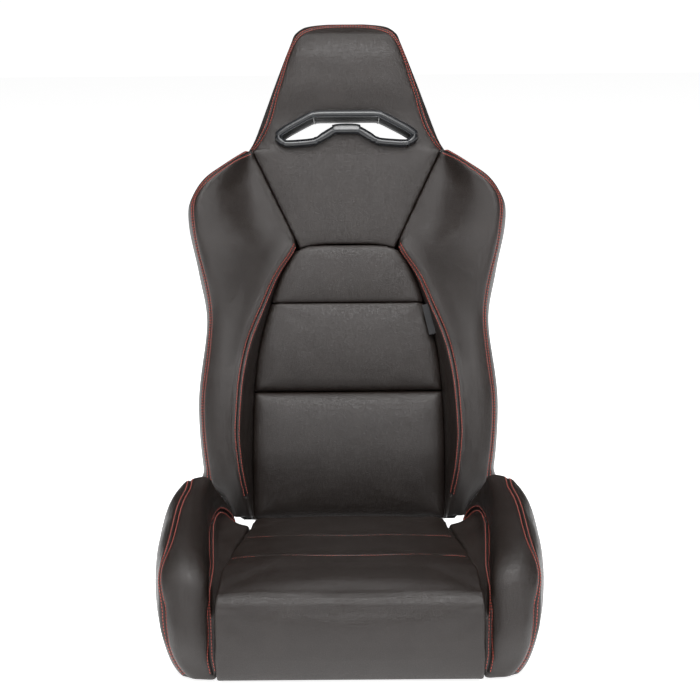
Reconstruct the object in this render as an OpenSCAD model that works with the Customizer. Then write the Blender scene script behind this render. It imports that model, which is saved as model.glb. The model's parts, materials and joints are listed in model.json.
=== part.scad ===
// Reclining sport seat: a padded back with shoulder wings, a belt slot and side bolsters,
// hinged on a steel base with a cushion and two thigh bolsters.
// X runs across the seat, the sitter faces -Y, Z is up. The origin is the centre of the
// four fixing holes, on the underside of the base rails.

/* [Back placement] */
// Lean of the back at rest, from upright
recline = 17; // [14:0.5:20]
// Hinge axis behind the centre of the fixing holes
hinge_y = 225; // [221:1:232]
// Hinge axis above the underside of the rails
hinge_z = 100; // [98:1:106]

/* [Back outline, measured along the back from the hinge] */
// Top of the head
back_top = 825; // [812:1:860]
// Half width of the head's top edge
head_top_half = 42; // [34:1:50]
// Half width of the head at its top corners
head_corner_half = 89; // [84:1:96]
// Depth of the head's top corners below the top
head_corner_drop = 27; // [24:1:34]
// Height of the neck, where head and shoulders meet
neck_v = 608; // [604:1:614]
// Half width at the neck
neck_half = 164; // [160:1:168]
// Flare of the head into the neck
neck_flare = 5; // [3:0.5:7]
// Height of the widest part of the shoulders
shoulder_v = 502; // [490:1:512]
// Half width at the shoulders
shoulder_half = 258; // [250:1:270]
// Height of the waist
waist_v = 328; // [315:1:340]
// Half width at the waist
waist_half = 228; // [223:1:235]
// Height of the widest part of the hip bolsters
hip_v = 186; // [175:1:200]
// Half width at the hip bolsters
hip_half = 240; // [234:1:247]
// Half width at the lower hem
hem_half = 224; // [220:1:228]
// Lower hem of the back between the hinges
hem_v = 8; // [7:0.5:12]
// Lower hem of the back beside the hinges
hem_side_v = 56; // [54:1:64]

/* [Back padding] */
// Height of the seam between the centre panels and the yoke
yoke_v = 450; // [442:1:458]
// Height of the seam between the upper and the middle panel
upper_seam_v = 355; // [345:1:365]
// Height of the seam between the middle and the lower panel
lower_seam_v = 211; // [200:1:222]
// Half width of the centre panels at the yoke
panel_top_half = 80; // [75:1:84]
// Half width of the centre panels at the upper seam
panel_mid_half = 124; // [120:1:128]
// Half width of the centre panels at the lower seam
panel_low_half = 151; // [148:1:154]
// Thickness of the centre panels
panel_thick = 46; // [42:1:50]
// Thickness of the yoke
yoke_thick = 45; // [42:1:48]
// Thickness of the head pillow
head_thick = 62; // [58:1:68]
// Thickness of the shoulder wings at their front edge
wing_thick = 106; // [96:1:112]
// Thickness of the hip bolsters at their crest
hip_thick = 94; // [84:1:98]
// Gap between neighbouring sewn panels
seam_gap = 0.8; // [0.6:0.1:1.2]

/* [Rear shell] */
// Depth of the rear shell at the waist
shell_depth = 58; // [54:1:60]
// Depth of the rear shell at the top of the head
shell_head_depth = 34; // [32:1:42]
// Wall of the rear shell
shell_wall = 4; // [3:0.5:5]
// Setback of the rear shell from the outline of the pads
shell_inset = 5; // [3:0.5:7]

/* [Belt slot] */
// Top edge of the slot
slot_top = 664; // [660:1:668]
// Half width of the slot's straight top edge
slot_top_half = 56; // [50:1:60]
// Half width of the slot at its outer corners
slot_half = 110; // [106:1:112]
// Height of the slot's outer corners
slot_corner_v = 627; // [624:1:630]
// Height of the raised middle of the slot's lower edge
slot_hump_v = 642; // [638:1:645]
// Width of the front bezel around the slot
bezel_w = 11; // [9:0.5:13]
// Thickness of the bezel's face
bezel_face = 9; // [7:0.5:10]
// Wall of the sleeve that lines the slot
sleeve_wall = 2.5; // [2:0.25:3.5]
// Climb of the sleeve towards the rear, for each length along it
slot_slope = 0.14; // [0.1:0.01:0.18]

/* [Back frame] */
// Outside diameter of the back frame tube
hoop_d = 25; // [22:0.5:25]
// Wall of the frame tubes
tube_wall = 2; // [1.5:0.25:3]
// Setback of the back frame's legs from the waist
hoop_inset = 38; // [38:1:41]
// Half width of the back frame's head loop
hoop_head_half = 68; // [60:1:70]
// Height of the back frame
hoop_top = 790; // [770:1:793]
// Centreline bend radius of the back frame
hoop_bend = 60; // [50:1:65]
// Wire diameter of the suspension springs
wire_d = 4; // [3:0.25:4.5]

/* [Seat] */
// Half width of the cushion at its front
cushion_front_half = 187; // [182:1:188]
// Half width of the cushion at its rear
cushion_rear_half = 150; // [146:1:151]
// Front face of the cushion, ahead of the fixing holes' centre
cushion_front = 268; // [262:1:276]
// Rear end of the cushion
cushion_rear = 172; // [168:1:172]
// Height of the cushion at its front edge
cushion_front_z = 148; // [142:1:158]
// Height of the cushion at its rear edge
cushion_rear_z = 122; // [118:1:123]
// Height of the cushion's underside
cushion_base_z = 55.5; // [55.5:0.5:60]
// Ground clearance of the upholstery
skirt_z = 6; // [4:0.5:10]
// Thickness of the front apron
apron_thick = 30; // [24:1:34]
// Outer half width of the thigh bolsters
thigh_half = 277; // [270:1:284]
// Height of the thigh bolsters
thigh_top = 216; // [206:1:224]
// Front face of the thigh bolsters
thigh_front = 254; // [250:1:258]
// Rear end of the thigh bolsters
thigh_rear = 137; // [130:1:138]

/* [Base frame] */
// Half spacing of the fixing holes across the seat
fixing_half_x = 160; // [156:1:163]
// Half spacing of the fixing holes along the seat
fixing_half_y = 170; // [160:1:175]
// Diameter of the fixing holes, for M8 bolts
fixing_d = 8.4; // [8.2:0.1:9]
// Width of a base rail
rail_w = 30; // [28:1:32]
// Height of a base rail
rail_h = 32; // [30:0.5:33]
// Sheet thickness of a base rail
rail_wall = 2.5; // [2:0.25:3]
// Front end of the base rails
rail_front = 236; // [230:1:237]
// Rear end of the base rails
rail_rear = 262; // [250:1:275]
// Outside diameter of the cross tubes
cross_d = 25; // [22:0.5:26]
// Distance of the front cross tube from the holes' centre
front_tube_y = 212; // [208:1:214]
// Distance of the rear cross tube from the holes' centre
rear_tube_y = 128; // [124:1:132]
// Inner face of the side plates from the middle of the seat
plate_x = 207; // [206.5:0.5:208]
// Thickness of the side plates and recliner arms
plate_t = 4; // [3.5:0.25:4.25]

/* [Recliner] */
// Radius of the toothed sector over its teeth
sector_r = 45; // [44:0.5:46]
// Number of teeth in a full turn of the sector
sector_teeth = 60; // [54:2:66]
// Diameter of the hinge pins
hinge_pin_d = 16; // [14:0.5:17]
// Radial running clearance of hinge pins and release rod
running_gap = 0.05; // [0.03:0.01:0.08]
// Release rod's place ahead of the hinge
rod_dy = 44; // [43:0.5:46]
// Release rod's place below the hinge
rod_dz = 32; // [31:0.5:34]
// Diameter of the release rod
rod_d = 10; // [8:0.5:11]
// Step from the widest part of the thigh bolsters in to the recliner covers
cover_step = 19; // [17:1:23]
// Wall of the recliner covers
cover_wall = 2.5; // [2:0.25:3]
// Length of the release levers from rod to tip
lever_len = 122; // [110:1:126]
// Backward travel of the back
travel_back = 60; // [50:1:60]
// Forward travel of the back
travel_forward = 10; // [6:1:10]

/* [Hidden] */
$fn = 48;

// Clearances
soft_gap = 0.3;     // between upholstery and what carries it
weld_gap = 0.15;    // between welded or bolted metal parts
loose_gap = 0.3;    // round screws, pegs and the belt sleeve

// ---------------------------------------------------------------- shared shapes

function mix(a, b, t) = a + (b - a) * t;
function clamp(x, low, high) = min(high, max(low, x));
function unit(v) = v / norm(v);
function squared(x) = x * x;

// Smooth curve through [place, value] knots, straight beyond neither end
function knot(t, x, i = 0) = i >= len(t) - 2 || x < t[i + 1][0] ? i : knot(t, x, i + 1);
function slope(t, i) =
    let (a = max(i - 1, 0), b = min(i + 1, len(t) - 1))
    (t[b][1] - t[a][1]) / (t[b][0] - t[a][0]);
function curve(t, x) =
    let (
        i = knot(t, x),
        w = t[i + 1][0] - t[i][0],
        s = clamp((x - t[i][0]) / w, 0, 1),
        s2 = s * s,
        s3 = s2 * s
    )
    (2 * s3 - 3 * s2 + 1) * t[i][1] + (s3 - 2 * s2 + s) * w * slope(t, i)
        + (3 * s2 - 2 * s3) * t[i + 1][1] + (s3 - s2) * w * slope(t, i + 1);

// Every number from a to b in n equal steps
function steps(a, b, n) = [for (i = [0 : n]) mix(a, b, i / n)];

// Arc that rounds the corner p1 between p0 and p2
function corner_arc(p0, p1, p2, r, n) =
    let (
        a = unit(p0 - p1),
        b = unit(p2 - p1),
        half = acos(a * b) / 2,
        centre = p1 + unit(a + b) * r / sin(half),
        s = p1 + a * r / tan(half) - centre,
        e = p1 + b * r / tan(half) - centre,
        turn = atan2(s[0] * e[1] - s[1] * e[0], s * e),
        first = atan2(s[1], s[0])
    )
    [for (i = [0 : n]) centre + r * [cos(first + turn * i / n), sin(first + turn * i / n)]];

// Closed outline of [x, y, corner radius] points with its corners rounded
function rounded(points, n = 4) =
    let (c = len(points))
    [for (i = [0 : c - 1])
        let (p = points[(i + c - 1) % c], q = points[i], r = points[(i + 1) % c])
        each corner_arc([p[0], p[1]], [q[0], q[1]], [r[0], r[1]], q[2], n)];

// Triangles between two neighbouring rings of n points
function ring_faces(k, n) = [for (i = [0 : n - 1])
    let (a = k * n + i, b = k * n + (i + 1) % n)
    each [[a, a + n, b + n], [a, b + n, b]]];

// Closed solid through rings of points, each end closed by a fan from its own centre point
module loft(rings, first_centre, last_centre) {
    n = len(rings[0]);
    rows = len(rings);
    points = concat([for (r = rings) each r], [first_centre, last_centre]);
    faces = concat(
        [for (k = [0 : rows - 2]) each ring_faces(k, n)],
        [for (i = [0 : n - 1]) [rows * n, i, (i + 1) % n]],
        [for (i = [0 : n - 1]) [rows * n + 1, (rows - 1) * n + (i + 1) % n, (rows - 1) * n + i]]
    );
    polyhedron(points, faces, convexity = 8);
}

// Closed solid through rings that run out along one wall face and back along the other
module wall_loft(rings) {
    n = len(rings[0]);
    rows = len(rings);
    faces = concat(
        [for (k = [0 : rows - 2]) each ring_faces(k, n)],
        [for (i = [0 : n / 2 - 2]) each [[i, i + 1, n - 2 - i], [i, n - 2 - i, n - 1 - i]]],
        [for (i = [0 : n / 2 - 2]) let (o = (rows - 1) * n)
            each [[o + i, o + n - 2 - i, o + i + 1], [o + i, o + n - 1 - i, o + n - 2 - i]]]
    );
    polyhedron([for (r = rings) each r], faces, convexity = 8);
}

// Closed band whose rings follow each other round a loop
module loop_loft(rings) {
    n = len(rings[0]);
    rows = len(rings);
    faces = [for (k = [0 : rows - 1]) for (i = [0 : n - 1])
        let (a = k * n + i, b = k * n + (i + 1) % n, c = ((k + 1) % rows) * n + i,
            d = ((k + 1) % rows) * n + (i + 1) % n)
        each [[a, d, c], [a, b, d]]];
    polyhedron([for (r = rings) each r], faces, convexity = 8);
}

// Cylinder along X from one place to another
module bar_x(from, to, d) {
    translate([from, 0, 0]) rotate([0, 90, 0]) cylinder(h = to - from, d = d);
}

// Flat sheet across X: a profile in Y and Z, from one place to another
module plate_x_profile(points, from, to) {
    translate([from, 0, 0]) rotate([90, 0, 90]) linear_extrude(to - from) polygon(points);
}

link_step = 0.05;

// Two round bosses joined by their tangents, in Y and Z, from one place to another along X
module link_x(p, rp, q, rq, from, to) {
    way = q - p;
    lean = acos((rp - rq) / norm(way));
    heading = atan2(way[1], way[0]);
    up = [cos(heading + lean), sin(heading + lean)];
    down = [cos(heading - lean), sin(heading - lean)];
    translate([0, p[0], p[1]]) bar_x(from, to, 2 * rp);
    translate([0, q[0], q[1]]) bar_x(from, to, 2 * rq);
    plate_x_profile([p + (rp - link_step) * up, p + (rp - link_step) * down,
        q + (rq - link_step) * down, q + (rq - link_step) * up], from, to);
}

// Rod of a few sides through points in the XY plane
module wire(points, d, sides = 6) {
    last = len(points) - 1;
    rings = [for (i = [0 : last])
        let (
            way = unit(points[min(i + 1, last)] - points[max(i - 1, 0)]),
            side = [-way[1], way[0], 0]
        )
        [for (k = [0 : sides - 1]) points[i]
            + d / 2 * (cos(360 * k / sides) * side + sin(360 * k / sides) * [0, 0, 1])]];
    loft(rings, points[0], points[last]);
}

// Sinuous spring from [0, 0, 0] along +X, with straight ends
sinuous_steps = 6;
function sinuous(length, waves, swing, end) =
    let (pitch = (length - 2 * end) / waves)
    concat(
        [[0, 0, 0]],
        [for (i = [0 : waves * sinuous_steps])
            let (a = 360 * i / sinuous_steps)
            [end + pitch * (i / sinuous_steps) - pitch * 0.09 * sin(2 * a), swing * sin(a), 0]],
        [[length, 0, 0]]
    );

module mirrored() mirror([1, 0, 0]) children();

// ---------------------------------------------------------------- base frame

rail_x = fixing_half_x;
tube_z = rail_h + 4;
plate_out = plate_x + plate_t;
hinge = [hinge_y, hinge_z];
rod_at = [hinge_y - rod_dy, hinge_z - rod_dz];
hub_r = 34;
spring_z = tube_z + cross_d / 2 + wire_d / 2;

module side_rail() {
    color("#232427") difference() {
        translate([rail_x - rail_w / 2, -rail_front, 0]) cube([rail_w, rail_front + rail_rear, rail_h]);
        translate([rail_x - rail_w / 2 + rail_wall, -rail_front - 1, rail_wall])
            cube([rail_w - 2 * rail_wall, rail_front + rail_rear + 2, rail_h - 2 * rail_wall]);
        for (y = [-fixing_half_y, fixing_half_y]) translate([rail_x, y, -1])
            cylinder(h = rail_wall + 2, d = fixing_d);
        for (y = [-front_tube_y, rear_tube_y]) translate([0, y, tube_z])
            bar_x(rail_x - rail_w, rail_x + rail_w, cross_d + 2 * weld_gap);
    }
}
module side_rail_left() side_rail();
module side_rail_right() mirrored() side_rail();

module cross_tube(y) {
    reach = plate_x - weld_gap;
    color("#232427") translate([0, y, tube_z]) difference() {
        bar_x(-reach, reach, cross_d);
        bar_x(-reach - 1, reach + 1, cross_d - 2 * tube_wall);
    }
}
module front_cross_tube() cross_tube(-front_tube_y);
module rear_cross_tube() cross_tube(rear_tube_y);

nut_d = fixing_d + 8;
nut_h = 6.5;
module weld_nuts() {
    color("#9a9ca0") for (x = [-rail_x, rail_x]) for (y = [-fixing_half_y, fixing_half_y])
        translate([x, y, rail_wall]) difference() {
            cylinder(h = nut_h, d = nut_d, $fn = 6);
            translate([0, 0, -1]) cylinder(h = nut_h + 2, d = fixing_d);
        }
}

// Pressed side frame: low along the cushion, rising to the hinge
frame_low_z = 18;
frame_top_z = 52;
frame_rise_y = 112;
stop_angle = 300;
stop_r = 29;
stop_d = 8;
peg_angle = 60;
peg_r = 25;
peg_d = 5;
bush_d = rod_d + 5;
frame_profile = rounded([
    [-front_tube_y - 18, frame_low_z, 8],
    [-front_tube_y - 18, frame_top_z, 12],
    [frame_rise_y, frame_top_z + 2, 30],
    [hinge_y - 40, hinge_z + 8, 24],
    [hinge_y - 12, hinge_z + 31, 12],
    [hinge_y + 30, hinge_z + 10, 10],
    [hinge_y + 36, hinge_z - 40, 14],
    [hinge_y + 30, frame_low_z, 12]
]);
cover_screw_at = [hinge + [-31, 8], hinge + [-4, -30]];
cover_screw_d = 4;
module side_frame() {
    color("#232427") difference() {
        plate_x_profile(frame_profile, plate_x, plate_out);
        translate([0, hinge[0], hinge[1]]) bar_x(plate_x - 1, plate_out + 1, hinge_pin_d + 2 * running_gap);
        translate([0, rod_at[0], rod_at[1]]) bar_x(plate_x - 1, plate_out + 1, bush_d + 2 * running_gap);
        for (p = cover_screw_at) translate([0, p[0], p[1]])
            bar_x(plate_x - 1, plate_out + 1, cover_screw_d + 2 * loose_gap);
        translate([0, hinge[0] + stop_r * cos(stop_angle), hinge[1] + stop_r * sin(stop_angle)])
            bar_x(plate_x - 1, plate_out + 1, stop_d + 2 * weld_gap);
        translate([0, hinge[0] + peg_r * cos(peg_angle), hinge[1] + peg_r * sin(peg_angle)])
            bar_x(plate_x - 1, plate_out + 1, peg_d + 2 * weld_gap);
        for (y = [-front_tube_y + 62 : 62 : rear_tube_y - 50])
            translate([0, y, (frame_low_z + frame_top_z) / 2]) bar_x(plate_x - 1, plate_out + 1, 16);
    }
}
module side_frame_left() side_frame();
module side_frame_right() mirrored() side_frame();

// Stop pins stand in the arms' curved slots
module travel_stop() {
    translate([0, hinge[0] + stop_r * cos(stop_angle), hinge[1] + stop_r * sin(stop_angle)]) {
        bar_x(plate_x - plate_t, plate_out, stop_d);
        bar_x(plate_out + weld_gap, plate_out + 3, stop_d + 5);
        bar_x(plate_out - 0.5, plate_out + 1, stop_d);
    }
}
module travel_stops() color("#9a9ca0") {
    travel_stop();
    mirrored() travel_stop();
}

module spring_peg() {
    translate([0, hinge[0] + peg_r * cos(peg_angle), hinge[1] + peg_r * sin(peg_angle)])
        bar_x(plate_x + 0.2, spring_x + spring_strip_w + 1, peg_d);
}
module spring_pegs() color("#9a9ca0") {
    spring_peg();
    mirrored() spring_peg();
}

module rod_bush() translate([0, rod_at[0], rod_at[1]]) difference() {
    union() {
        bar_x(plate_x, plate_out + 1.5, bush_d);
        bar_x(plate_out + 0.1, plate_out + 1.5, bush_d + 5);
    }
    bar_x(plate_x - 1, plate_out + 3, rod_d + 2 * running_gap);
}
module rod_bushes() color("#15161a") {
    rod_bush();
    mirrored() rod_bush();
}

// ---------------------------------------------------------------- seat suspension and padding

seat_spring_x = [-120, -40, 40, 120];
seat_spring_len = front_tube_y + rear_tube_y;
module seat_springs() color("#4a4c50") for (x = seat_spring_x)
    translate([x, -front_tube_y, spring_z]) rotate([0, 0, 90])
        wire(sinuous(seat_spring_len, 7, 20, cross_d * 0.9), wire_d);

// Sheet hooks that hold the spring ends on the cross tubes
clip_wall = 2;
clip_w = 16;
module spring_clip(x, y) translate([x, y, tube_z]) difference() {
    bar_x(-clip_w / 2, clip_w / 2, cross_d + 2 * (wire_d + clip_wall + weld_gap));
    bar_x(-clip_w, clip_w, cross_d + 2 * weld_gap);
    translate([-clip_w, -cross_d, -cross_d]) cube([2 * clip_w, 2 * cross_d, cross_d + 4]);
    translate([0, -cross_d, spring_z - tube_z]) rotate([-90, 0, 0])
        cylinder(h = 2 * cross_d, d = wire_d + 2 * weld_gap);
}
module seat_spring_clips() color("#9a9ca0")
    for (x = seat_spring_x) for (y = [-front_tube_y, rear_tube_y]) spring_clip(x, y);

function cushion_half(y) = curve([
    [-cushion_front, cushion_front_half],
    [-cushion_front * 0.45, mix(cushion_front_half, cushion_rear_half, 0.2)],
    [cushion_rear * 0.25, mix(cushion_front_half, cushion_rear_half, 0.6)],
    [cushion_rear, cushion_rear_half]
], y);
function cushion_top(y) =
    mix(cushion_rear_z, cushion_front_z, (cushion_rear - y) / (cushion_rear + cushion_front));

pad_sheet = cushion_base_z - spring_z - wire_d / 2;
module cushion_support_pad() color("#3a3b3d")
    translate([-cushion_rear_half, -front_tube_y + cross_d, cushion_base_z - pad_sheet + weld_gap])
        cube([2 * cushion_rear_half, seat_spring_len - 2 * cross_d, pad_sheet - 2 * weld_gap]);

// One side of the cushion in Y and Z: rear, crowned top, front roll, apron, underside
seat_roll = 26;
cushion_crown = 9;
seam_y = [20, -110];
seam_depth = 2.5;
seam_half = 7;
function seam_dip(y) = seam_depth * max([for (s = seam_y) max(0, 1 - abs(y - s) / seam_half)]);
function cushion_line(t) =
    let (
        crown = cushion_crown * (1 - squared(t) * squared(t)),
        lift = function (y) cushion_top(y) + crown * (1 - 0.5 * squared(y / cushion_front))
            - 4 * pow(t, 8) - seam_dip(y),
        front_z = lift(-cushion_front + seat_roll)
    )
    concat(
        [[cushion_rear, cushion_base_z], [cushion_rear, cushion_base_z + 30]],
        [for (a = [15, 50, 80]) [cushion_rear - 14 + 14 * cos(a), lift(cushion_rear) - 14 + 14 * sin(a)]],
        [for (y = [cushion_rear * 0.65, seam_y[0] + seam_half, seam_y[0], seam_y[0] - seam_half,
            -45, seam_y[1] + seam_half, seam_y[1], seam_y[1] - seam_half,
            -cushion_front + seat_roll + 55, -cushion_front + seat_roll + 20]) [y, lift(y)]],
        [for (a = [90 : 22.5 : 180])
            [-cushion_front + seat_roll + seat_roll * cos(a), front_z - seat_roll + seat_roll * sin(a)]],
        [[-cushion_front - 2, cushion_front_z * 0.45], [-cushion_front + 3, skirt_z + 12],
            [-cushion_front + 9, skirt_z], [-cushion_front + apron_thick, skirt_z],
            [-cushion_front + apron_thick, cushion_base_z]]
    );
module seat_cushion() color("#3a3634") {
    sides = [-1, -0.97, -0.9, -0.75, -0.5, -0.2, 0.2, 0.5, 0.75, 0.9, 0.97, 1];
    rings = [for (t = sides) [for (p = cushion_line(t))
        [t * (cushion_half(p[0]) - 2.5 * squared((p[1] - cushion_base_z) / 60 - 0.6) * pow(t, 8)),
            p[0], p[1]]]];
    heart = [cushion_front_half, -cushion_front + apron_thick * 0.6, cushion_base_z + 32];
    loft(rings, [-heart[0], heart[1], heart[2]], heart);
}

// Thigh bolster: an arch from its front foot over the top, tucked in behind the cushion
ridge_y = 50;
function thigh_ridge_z(y) = curve([
    [-thigh_front, thigh_top * 0.33], [-thigh_front + 8, thigh_top * 0.545],
    [-thigh_front + 30, thigh_top * 0.73], [-170, thigh_top * 0.855], [-90, thigh_top * 0.935],
    [0, thigh_top * 0.98], [ridge_y, thigh_top], [ridge_y + 28, thigh_top * 0.965],
    [thigh_rear - 32, thigh_top * 0.84], [thigh_rear, thigh_top * 0.65]
], y);
function thigh_ridge_x(y) = curve([
    [-thigh_front, thigh_half - 50], [-170, thigh_half - 40], [0, thigh_half - 42],
    [ridge_y, thigh_half - 46], [ridge_y + 40, thigh_half - 68], [thigh_rear, thigh_half - 86]
], y);
function thigh_outer_x(y) = curve([
    [-thigh_front, thigh_half - 34], [-thigh_front + 20, thigh_half - 13], [-195, thigh_half - 4],
    [-150, thigh_half], [-60, thigh_half - 1.5], [0, thigh_half - 4], [20, thigh_half - 7],
    [50, thigh_half - 14], [90, thigh_half - 25], [thigh_rear, thigh_half - 40]
], y);
function thigh_seam(y) = curve([
    [-thigh_front, 10], [-cushion_front + 40, 9], [-120, 24], [0, 44], [ridge_y, 48], [100, 40],
    [thigh_rear, 20]
], y);
function thigh_seam_z(y) = curve([
    [-thigh_front, 40], [-cushion_front + 30, 96], [-190, 122], [-120, 130], [0, 140], [ridge_y, 148],
    [100, 146], [thigh_rear, 119]
], y);
function thigh_fullness(y) = curve([[-thigh_front, 0.62], [-150, 0.68], [0, 0.76], [thigh_rear, 0.78]], y);
thigh_floor = frame_top_z + 6;
function thigh_floor_z(y) = y < -cushion_front + apron_thick ? skirt_z :
    curve([[-cushion_front, thigh_floor], [frame_rise_y - 20, thigh_floor],
        [thigh_rear, thigh_floor + 24]], y);
function thigh_ring(y) =
    let (
        inner = cushion_half(y) + seam_gap,
        seam = [inner + thigh_seam(y), min(thigh_seam_z(y), thigh_ridge_z(y) - 8)],
        ridge = [thigh_ridge_x(y), thigh_ridge_z(y)],
        outer = thigh_outer_x(y),
        waist_z = ridge[1] * thigh_fullness(y),
        low = thigh_floor_z(y),
        out = plate_out + soft_gap * 3,
        foot = [outer - 27, skirt_z],
        edge = [inner, min(cushion_top(y) - 6, seam[1] - 12)]
    )
    concat(
        [[inner, low], edge],
        [edge + (seam - edge) * 0.5 + [3, -3], seam],
        [for (a = [28, 58, 90])
            [ridge[0] - (ridge[0] - seam[0] + 1) * cos(a), seam[1] + (ridge[1] - seam[1]) * sin(a)]],
        [for (a = [62, 32, 0])
            [ridge[0] + (outer - ridge[0]) * pow(cos(a), 0.7), waist_z + (ridge[1] - waist_z) * pow(sin(a), 0.7)]],
        [[outer - 3, mix(skirt_z, waist_z, 0.66)], [outer - 12, mix(skirt_z, waist_z, 0.28)], foot],
        [[out, skirt_z], [out, low]]
    );
module thigh_bolster() color("#3d3937") {
    hollow = -cushion_front + apron_thick;
    places = [-thigh_front, -thigh_front + 4, hollow - 0.5, hollow, -225, -200, -170, -135, -95, -50, -5,
        ridge_y - 15, ridge_y + 12, ridge_y + 30, ridge_y + 48, ridge_y + 64, thigh_rear - 10, thigh_rear];
    rings = [for (y = places) let (shrink = y < -thigh_front + 2 ? 5 : y > thigh_rear - 2 ? 4 : 0)
        [for (p = thigh_ring(y))
            [p[0] + (p[0] < plate_out ? shrink : p[0] > plate_out + 2 ? -shrink : 0), y,
                p[1] > thigh_floor + 20 ? p[1] - shrink : p[1]]]];
    loft(rings, [thigh_half - 50, -thigh_front, 40], [plate_out + 6, thigh_rear, 100]);
}
module thigh_bolster_left() thigh_bolster();
module thigh_bolster_right() mirrored() thigh_bolster();

// ---------------------------------------------------------------- recliner, on the base

cover_x = thigh_half - cover_step;
cover_hub_r = 44;
cover_rod_r = 21;
module recliner_cover() color("#1b1c1f") {
    inside = plate_out + soft_gap;
    face = cover_x - 4;
    boss_d = cover_screw_d + 5;
    difference() {
        union() {
            difference() {
                union() {
                    link_x(hinge, cover_hub_r, rod_at, cover_rod_r, inside, face);
                    link_x(hinge, cover_hub_r - 4, rod_at, cover_rod_r - 4, face - 1, cover_x);
                }
                link_x(hinge, cover_hub_r - cover_wall, rod_at, cover_rod_r - cover_wall,
                    inside - 1, face - cover_wall);
            }
            for (p = cover_screw_at) translate([0, p[0], p[1]])
                bar_x(inside, face - cover_wall + 0.5, boss_d);
        }
        translate([0, rod_at[0], rod_at[1]]) bar_x(inside, cover_x + 1, rod_d + 2 * loose_gap);
        for (p = cover_screw_at) translate([0, p[0], p[1]]) {
            bar_x(inside - 1, cover_x + 1, cover_screw_d + 2 * weld_gap);
            bar_x(cover_x - 2.4, cover_x + 1, cover_screw_d + 4.6);
        }
    }
}
module recliner_cover_left() recliner_cover();
module recliner_cover_right() mirrored() recliner_cover();

module cover_screw_pair() for (p = cover_screw_at) translate([0, p[0], p[1]]) {
    bar_x(plate_x + soft_gap, cover_x - 2, cover_screw_d);
    bar_x(cover_x - 2.3, cover_x + 0.2, cover_screw_d + 4);
}
module cover_screws() color("#9a9ca0") {
    cover_screw_pair();
    mirrored() cover_screw_pair();
}

// Spiral spring from the slotted pin out to the peg
spring_x = plate_out + 4;
spring_strip_w = 6;
spring_strip_t = 1.2;
spiral_turns = 3;
spiral_in = hinge_pin_d / 2 + 1.6;
spiral_out = peg_r - peg_d / 2 - spring_strip_t / 2 - weld_gap;
function spiral_at(a, grow) =
    let (r = mix(spiral_in, spiral_out, a / (360 * spiral_turns)) + grow)
    hinge + r * [cos(peg_angle - a), sin(peg_angle - a)];
module return_spring() {
    turns = [for (i = [0 : spiral_turns * 18]) i * 20];
    color("#4a4c50") {
        plate_x_profile(concat(
            [for (a = turns) spiral_at(a, spring_strip_t / 2)],
            [for (i = [len(turns) - 1 : -1 : 0]) spiral_at(turns[i], -spring_strip_t / 2)]
        ), spring_x, spring_x + spring_strip_w);
        translate([spring_x, hinge[0], hinge[1]]) rotate([peg_angle, 0, 0])
            translate([0, 3, -spring_strip_t / 2]) cube([spring_strip_w, spiral_in - 3, spring_strip_t]);
    }
}
module return_spring_left() return_spring();
module return_spring_right() mirrored() return_spring();

// ---------------------------------------------------------------- release

// Gear outline in Y and Z round the origin, teeth from one angle to another
tooth_h = 4;
function teeth(tip, root, first, last) =
    let (pitch = 360 / sector_teeth)
    concat([[0, 0]], [for (a = [first : pitch : last]) each [
        root * [cos(a), sin(a)],
        tip * [cos(a + pitch * 0.35), sin(a + pitch * 0.35)],
        tip * [cos(a + pitch * 0.55), sin(a + pitch * 0.55)],
        root * [cos(a + pitch * 0.9), sin(a + pitch * 0.9)]
    ]]);

pawl_angle = 245;
pawl_gap = 0.4;
arm_in = plate_x - 0.2 - plate_t;
arm_out = plate_x - 0.2;
module pawl() {
    nose = hinge + (sector_r + 7) * [cos(pawl_angle), sin(pawl_angle)];
    color("#8d9095") difference() {
        link_x(rod_at, rod_d / 2 + 3.5, nose, 6, arm_in, arm_out);
        translate([0, rod_at[0], rod_at[1]]) bar_x(arm_in - 1, arm_out + 1, rod_d + 2 * running_gap);
        translate([0, hinge[0], hinge[1]]) {
            bar_x(arm_in - 1, arm_out + 1, 2 * (sector_r + pawl_gap));
            plate_x_profile(teeth(sector_r + pawl_gap + 3, sector_r + pawl_gap - 1,
                pawl_angle - 12, pawl_angle + 8), arm_in - 1, arm_out + 1);
        }
    }
}
module pawl_left() pawl();
module pawl_right() mirrored() pawl();

lever_x = cover_x + 8;
lever_t = 4;
lever_screw_d = 5;
lever_knee = rod_at + [-40, -2];
lever_tip = rod_at + [-lever_len, 3];
module release_rod() color("#8d9095") translate([0, rod_at[0], rod_at[1]]) difference() {
    bar_x(-lever_x - lever_t, lever_x + lever_t, rod_d);
    for (from = [-lever_x - lever_t - 1, lever_x - 10])
        bar_x(from, from + 11 + lever_t, lever_screw_d + 2 * weld_gap);
}
module lever() color("#232427") difference() {
    union() {
        link_x(rod_at, 11, lever_knee, 8, lever_x, lever_x + lever_t);
        link_x(lever_knee, 8, lever_tip, 6, lever_x, lever_x + lever_t);
    }
    translate([0, rod_at[0], rod_at[1]]) bar_x(lever_x - 1, lever_x + lever_t + 1, rod_d + 2 * running_gap);
}
module lever_left() lever();
module lever_right() mirrored() lever();

grip_from = [-62, -1];
grip_half = 5.5;
module lever_grip() color("#15161a") difference() {
    middle = lever_x + lever_t / 2;
    link_x(rod_at + grip_from, 11, lever_tip, 13, middle - grip_half, middle + grip_half);
    link_x(lever_knee, 8 + loose_gap, lever_tip, 6 + loose_gap,
        lever_x - weld_gap, lever_x + lever_t + weld_gap);
    for (i = [0 : 3]) translate([middle + grip_half, lever_tip[0] + 10 + 12 * i, lever_tip[1] - 14])
        cylinder(h = 30, d = 3);
}
module lever_grip_left() lever_grip();
module lever_grip_right() mirrored() lever_grip();

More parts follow.
